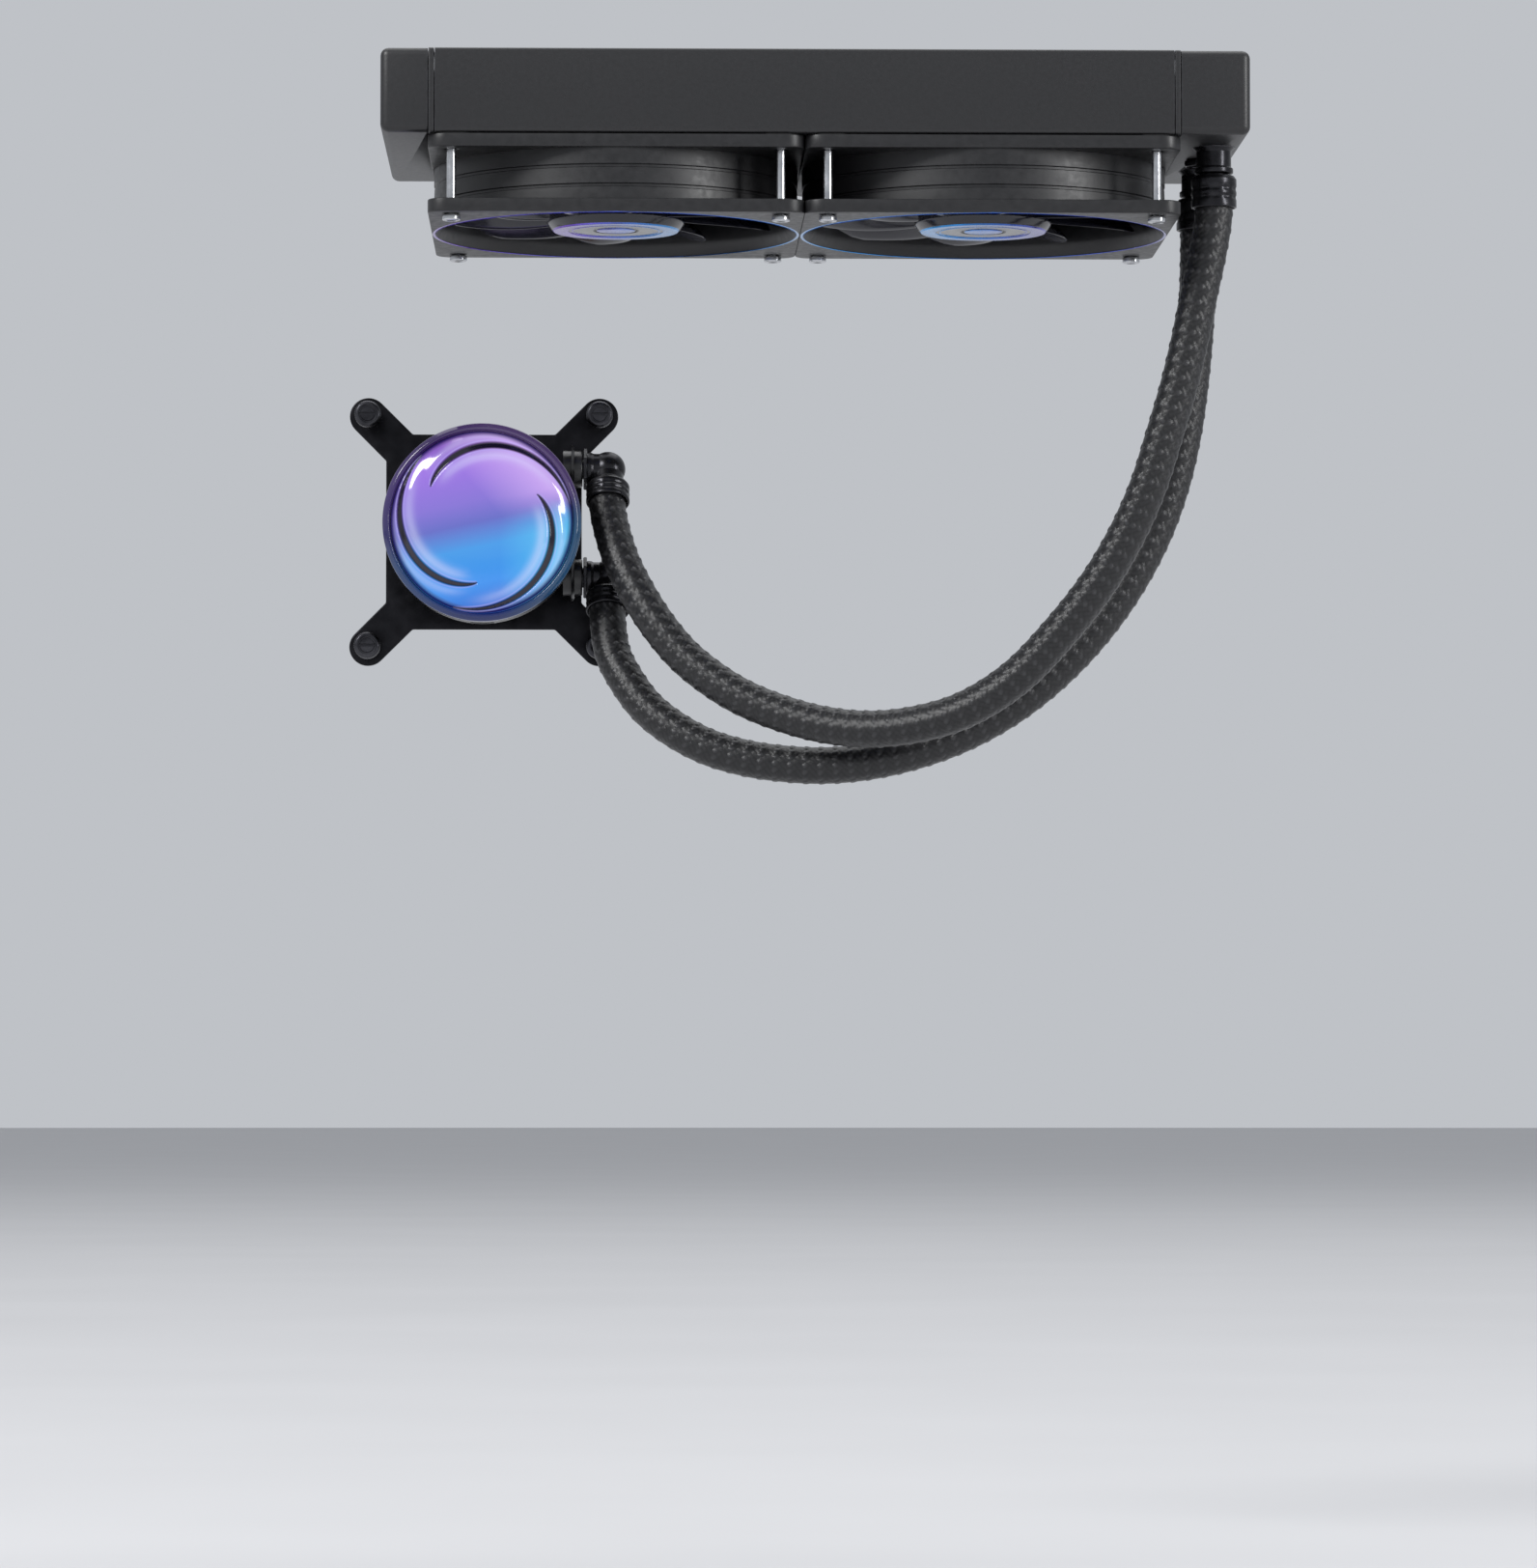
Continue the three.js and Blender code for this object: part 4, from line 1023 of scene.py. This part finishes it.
def add_cap(look):
    """The domed clear cap: a fine polar mesh carved by the swirl grooves."""
    sides, rings = 400, 120
    radii = DOME_R * (np.arange(1, rings + 1) / rings) ** 0.75
    r, a = np.meshgrid(radii, round_angles(sides), indexing="ij")
    groove, line, shoulder = swirl_masks(r, a)
    smooth = groove * groove * (3 - 2 * groove)
    fade = np.clip((DOME_R - r) / 1.6, 0, 1)
    z = cap_height(r) + (0.55 * shoulder * (1 - smooth) - 1.25 * smooth) * fade
    under = [(DOME_R, 44.4), (29.4, 44.3), (29.4, 41.2), (0, 41.2)]
    obj = make("swirl_dome", lathe([(0, cap_height(0.0)), *zip(radii, z), *under], sides), PUMP, look, 60)
    extra = np.zeros(len(obj.data.vertices) - r.size)
    rim = np.clip((r - 28.3) / 1.5, 0, 1)
    for field, values in (("groove", smooth), ("line", line), ("shoulder", shoulder), ("rim", rim)):
        attribute = obj.data.attributes.new(field, "FLOAT", "POINT")
        attribute.data.foreach_set("value", np.r_[values.ravel(), extra].astype(np.float32))
    fit(obj, "chassis", "clear_cap", "dome_cover")


def add_rim(look):
    low, high = 44.1, 48.0
    band = turned(180, 5, [(30.5, low, 0.2), (33, low, 0.4), (33, low + 2.6, 1.1), (31.7, high, 0.8),
                           (30.9, high - 0.1, 0.3), (30.5, high - 0.9, 0.2)])
    fixed("rim_band", band, PUMP, look, "rim_tint", "rim_ring")


def add_housing():
    """Pump base with its chamber and port bosses, and the shell round the lamps."""
    shape = Shape(turned(128, 4, [
        (13, 4.6), (27.3, 4.6, 0.3), (27.3, 7.7, 0.4), (30.2, 7.7, 0.3), (31, 8.6, 0.8), (31, 26, 0.5),
        (20, 26), (20, 14.2), (10.9, 14.2), (10.9, 10.9), (13, 10.9),
    ]))
    boss = turned(56, 4, [(3.9, 26.8), (6.2, 26.8), (6.2, 33.3, 0.6), (3.9, 33.3, 0.3)])
    flare = turned(56, 4, [(6.1, 29.6), (8.2, 29.6), (6.1, 31.8, 0.8)])
    for level in ("upper", "lower"):
        place = shift(0, *elbow_place_mm(level)) @ spin(TURN / 4, "Y")
        shape.add(boss, place)
        shape.add(flare, place)
    rib = softened(block(30.6, 31.45, -0.7, 0.7, 9.6, 24.8), 0.3)
    for k in range(24):
        angle = (k + 0.5) / 24 * TURN
        # No ribs on the side of the elbows.
        if cos(angle) < 0.55:
            shape.add(rib, spin(angle))
    fixed("pump_housing", shape, PUMP, PUMP_PLASTIC, "pump_plastic", "pump_base")
    shell = turned(160, 5, [
        (27.4, 26.3), (30.8, 26.3, 0.5), (32.6, 29, 1.2), (32.6, 43.8, 0.5), (29.8, 43.8, 0.2),
        (29.8, 38.2), (28.4, 38.2), (28.4, 28.1), (27.4, 28.1),
    ])
    obj = make("pump_barrel", shell, PUMP, PUMP_PLASTIC)
    lead_slot = softened(block(-4, 4, -36, -24, 31, 34.5), 1.0, 4)
    cut(obj, lead_slot, PUMP)
    grooves = Shape()
    for z in (36.6, 40.2):
        grooves.add(lathe([(32.2, z - 0.3), (33.4, z - 0.3), (33.4, z + 0.3), (32.2, z + 0.3)], 160))
    cut(obj, grooves, PUMP)
    fit(obj, "chassis", "pump_plastic", "pump_shell")


def add_cold_plate():
    low, high = box_mm("cold_plate")
    half = (high[0] - low[0]) / 2
    shape = softened(prism(rounded_box(half, half, 5, 8), 0, 3.2), 0.35, 3)
    for k in range(9):
        shape.add(softened(block(-8.8 + k * 2.1, -8 + k * 2.1, -8.8, 8.8, 3.1, 4.9), 0.12, 1))
    fixed("cold_plate_block", shape, PUMP, COPPER, "copper", "cold_plate")


def bracket_outline():
    """Cross of four ears joined by straight sides, and the ears' round ends."""
    waist, knee, ear = 33.0, 24.0, 6.3
    outline = []
    for turn, (x, y) in enumerate(((1, 1), (-1, 1), (-1, -1), (1, -1))):
        first, second = ((waist * x, knee * y), (knee * x, waist * y))
        if turn % 2:
            first, second = second, first
        outline.append(first)
        start = turn * TURN / 4 - TURN / 8
        for k in range(25):
            a = start + TURN / 2 * k / 24
            outline.append((NUT * x + ear * cos(a), NUT * y + ear * sin(a)))
        outline.append(second)
    return outline


def add_bracket():
    holes = [circle(27.6, 96)] + [circle(2.4, 24, x * NUT, y * NUT) for x, y in CORNERS]
    shape = softened(plate(bracket_outline(), holes, 5.4, 7.4), 0.4, 3)
    fixed("bracket_plate", shape, PUMP, BRACKET_STEEL, "bracket_steel", "retention_bracket")


def thumb_screw():
    """Threaded stem with a collar, and a diamond-knurled head."""
    sides, rows, low, high = 120, 18, 13.1, 17.2
    section = [(0, -4), (1.3, -4), (1.75, -3.4)]
    for k in range(8):
        section += [(1.9, -3.2 + k * 0.42), (1.68, -3.0 + k * 0.42)]
    section += [(1.9, 0.1), (2.9, 0.2), (2.9, 1.0), (1.9, 1.05), (1.9, 12.4), (3.9, 12.5), (4.3, 12.9)]
    turn = np.arange(sides) / sides * 40
    for f in np.arange(rows + 1) / rows:
        ridge = np.abs(np.mod(turn + 4 * f, 1) - 0.5) + np.abs(np.mod(turn - 4 * f, 1) - 0.5)
        section.append((4.5 - 0.22 * np.clip(ridge, 0, 1), low + (high - low) * f))
    section += [(4.3, 17.3), (4.0, 17.8), (3.7, 18.0), (3.0, 18.0), (2.9, 17.7), (2.5, 17.65),
                (2.35, 17.95), (0, 18)]
    return lathe(section, sides)


def coil_line():
    """Centre line of a closed and ground spring about Z, between the bracket and the screw's head."""
    turns, radius, low, high = 6.5, 2.9, 7.8, 12.1
    count = 260
    u = np.arange(count + 1) / count
    a = u * turns * TURN
    wire = 0.74
    ends = 1.0 / turns
    rise = np.clip((u - ends) / (1 - 2 * ends), 0, 1)
    closed = np.minimum(u, ends) / ends + np.maximum(u - 1 + ends, 0) / ends
    z = low + closed * wire * 0.5 + rise * (high - low - wire)
    return np.column_stack([radius * np.cos(a), radius * np.sin(a), z])


def add_thumb_screws():
    for i, (x, y) in enumerate([(-1, 1), (1, 1), (1, -1), (-1, -1)], 1):
        place = PUMP @ shift(x * NUT, y * NUT)
        screw = make(f"knurled_screw_{i}", thumb_screw(), place, DARK_STEEL, 30)
        cut(screw, block(-3, 3, -0.5, 0.5, 16.6, 19), place)
        fit(screw, f"nut_{i}", "dark_steel", f"thumb_screw_{i}")
        coil = make(f"coil_{i}", sweep(coil_line(), 0.36, 10), place, SPRING_STEEL, 60)
        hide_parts(f"spring_{i}")
        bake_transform(coil)


def elbow_place_mm(level):
    """Where an elbow's port axis stands in the pump frame: its Y and its height."""
    pivot = PUMP.inverted() @ Vector(JOINTS[f"elbow_{level}_swivel"]["pos_m"])
    return pivot.y, pivot.z


def add_elbows():
    to_port = spin(TURN / 4, "Y")
    to_hose = spin(TURN / 4 - ELBOW_LEAN, "X")
    nut = hexagon(6.0, 72)
    ball = 5.9
    arc = [(ball * sin(a), -ball * cos(a)) for a in (k / 24 * pi for k in range(1, 24))]
    for level in ("upper", "lower"):
        place = PUMP @ shift(ELBOW_X, *elbow_place_mm(level))
        shape = Shape()
        shape.add(turned(40, 3, [(0, -14.8), (3.4, -14.8, 0.4), (3.4, -8.2), (0, -8.2)]), to_port)
        flats = [(nut - 0.35, -8.2), (nut, -7.95), (nut, -7.2), (nut - 0.3, -7.0)]
        shape.add(lathe([(0, -8.2), *flats, (0, -7.0)], 72), to_port)
        neck = [(0, -7.1), (5.6, -7.1, 0.3), (5.6, -5.6, 0.5), (5.2, -4.8, 0.5), (5.2, 0), (0, 0)]
        shape.add(turned(64, 4, neck), to_port)
        shape.add(lathe([(0, -ball), *arc, (0, ball)], 64), to_port)
        outlet = [(2.8, 1), (5.2, 1), (5.2, 5.3, 0.5), (5.7, 5.6, 0.2), (5.7, 6.1, 0.2), (4.6, 6.2, 0.2),
                  (4.6, 8.1), (2.8, 8.1)]
        shape.add(turned(64, 4, outlet), to_hose)
        body = f"swivel_{level}"
        fit(make(f"elbow_body_{level}", shape, place, FITTING), body, "fitting_metal", f"elbow_{level}")
        collar = make(f"elbow_ferrule_{level}", ferrule(6.2, 13.4), place @ to_hose, FITTING)
        fit(collar, body, "fitting_metal", f"elbow_collar_{level}")


# ---- inner CAD parts
def finish_inner_parts():
    """The CAD nodes that stay keep their shape and get a worked material."""
    looks = {
        "cold_plate_seal": RUBBER, "impeller": CERAMIC, "impeller_magnet": FERRITE, "pump_shaft": CERAMIC,
        "rotor_can": DARK_STEEL, "pump_stator": WINDING, "pump_board": BOARD,
        "light_guide": light_guide_glow(),
    }
    for side in ("left", "right"):
        looks[f"fan_{side}_magnet_ring"] = FERRITE
        looks[f"fan_{side}_shaft"] = BRIGHT_STEEL
        looks[f"fan_{side}_bearing"] = BRONZE
        looks[f"fan_{side}_stator"] = WINDING
    for name, look in looks.items():
        frame["nodes"][name].material_slots[0].material = look


# ---- floor and light
def add_floor():
    look = Look("floor", (0.58, 0.58, 0.59), 0.85)
    look.vary(3, 0.8, 0.9, (0.57, 0.57, 0.58), (0.59, 0.59, 0.6))
    look.set("Specular IOR Level", 0.1)
    bpy.ops.mesh.primitive_circle_add(vertices=96, radius=30, fill_type="NGON", location=(0, 0, FLOOR_Z))
    floor = bpy.context.object
    floor.name = "floor"
    floor.data.materials.append(look.material)


def add_light(name, place, target, size, power):
    data = bpy.data.lights.new(name, "AREA")
    data.shape = "RECTANGLE"
    data.size, data.size_y = size
    data.energy = power
    light = add_object(name, data)
    light.location = place
    light.rotation_euler = (Vector(target) - Vector(place)).to_track_quat("-Z", "Y").to_euler()


def add_studio():
    world = bpy.data.worlds.new("studio")
    world.use_nodes = True
    background = world.node_tree.nodes["Background"]
    background.inputs["Color"].default_value = (0.84, 0.87, 0.92, 1)
    background.inputs["Strength"].default_value = 0.62
    SCENE.world = world
    centre = (0, 0, -0.11)
    add_light("key", (-2.6, -2.2, 2.2), centre, (1.4, 1.4), 115)
    add_light("fill", (3.0, -2.0, 0.9), centre, (0.7, 2.2), 75)
    add_light("top", (0.3, 2.5, 5.0), (0, 2.5, 0), (6.0, 6.0), 150)


def main():
    SCENE.view_settings.view_transform = "Standard"
    add_camera()
    add_hose("hose_upper", UPPER_ROUTE, "upper")
    add_hose("hose_lower", LOWER_ROUTE, "lower")
    add_tanks()
    add_side_frames()
    add_core()
    add_ports()
    # Violet and blue tints of the fans' mouth rims and hubs: painted reflections of coloured lamps.
    painted_reflection_tints = {
        "left": ((0.2, 0.07, 0.62), (0.03, 0.3, 0.72)),
        "right": ((0.02, 0.34, 0.8), (0.07, 0.07, 0.48)),
    }
    for side, colors in painted_reflection_tints.items():
        x = middle_mm(f"fan_{side}_frame")[0] * MM
        rim = painted_reflection_gloss(f"rim_painted_reflection_{side}", x - 0.06, x + 0.06, *colors)
        hub = painted_reflection_gloss(f"hub_painted_reflection_{side}", x - 0.018, x + 0.018, *colors, 0.22)
        add_fan(side, rim, hub)
    add_cold_plate()
    add_housing()
    add_cap(swirl_cap())
    add_rim(rim_glass())
    add_bracket()
    add_thumb_screws()
    add_elbows()
    finish_inner_parts()
    add_floor()
    add_studio()


main()
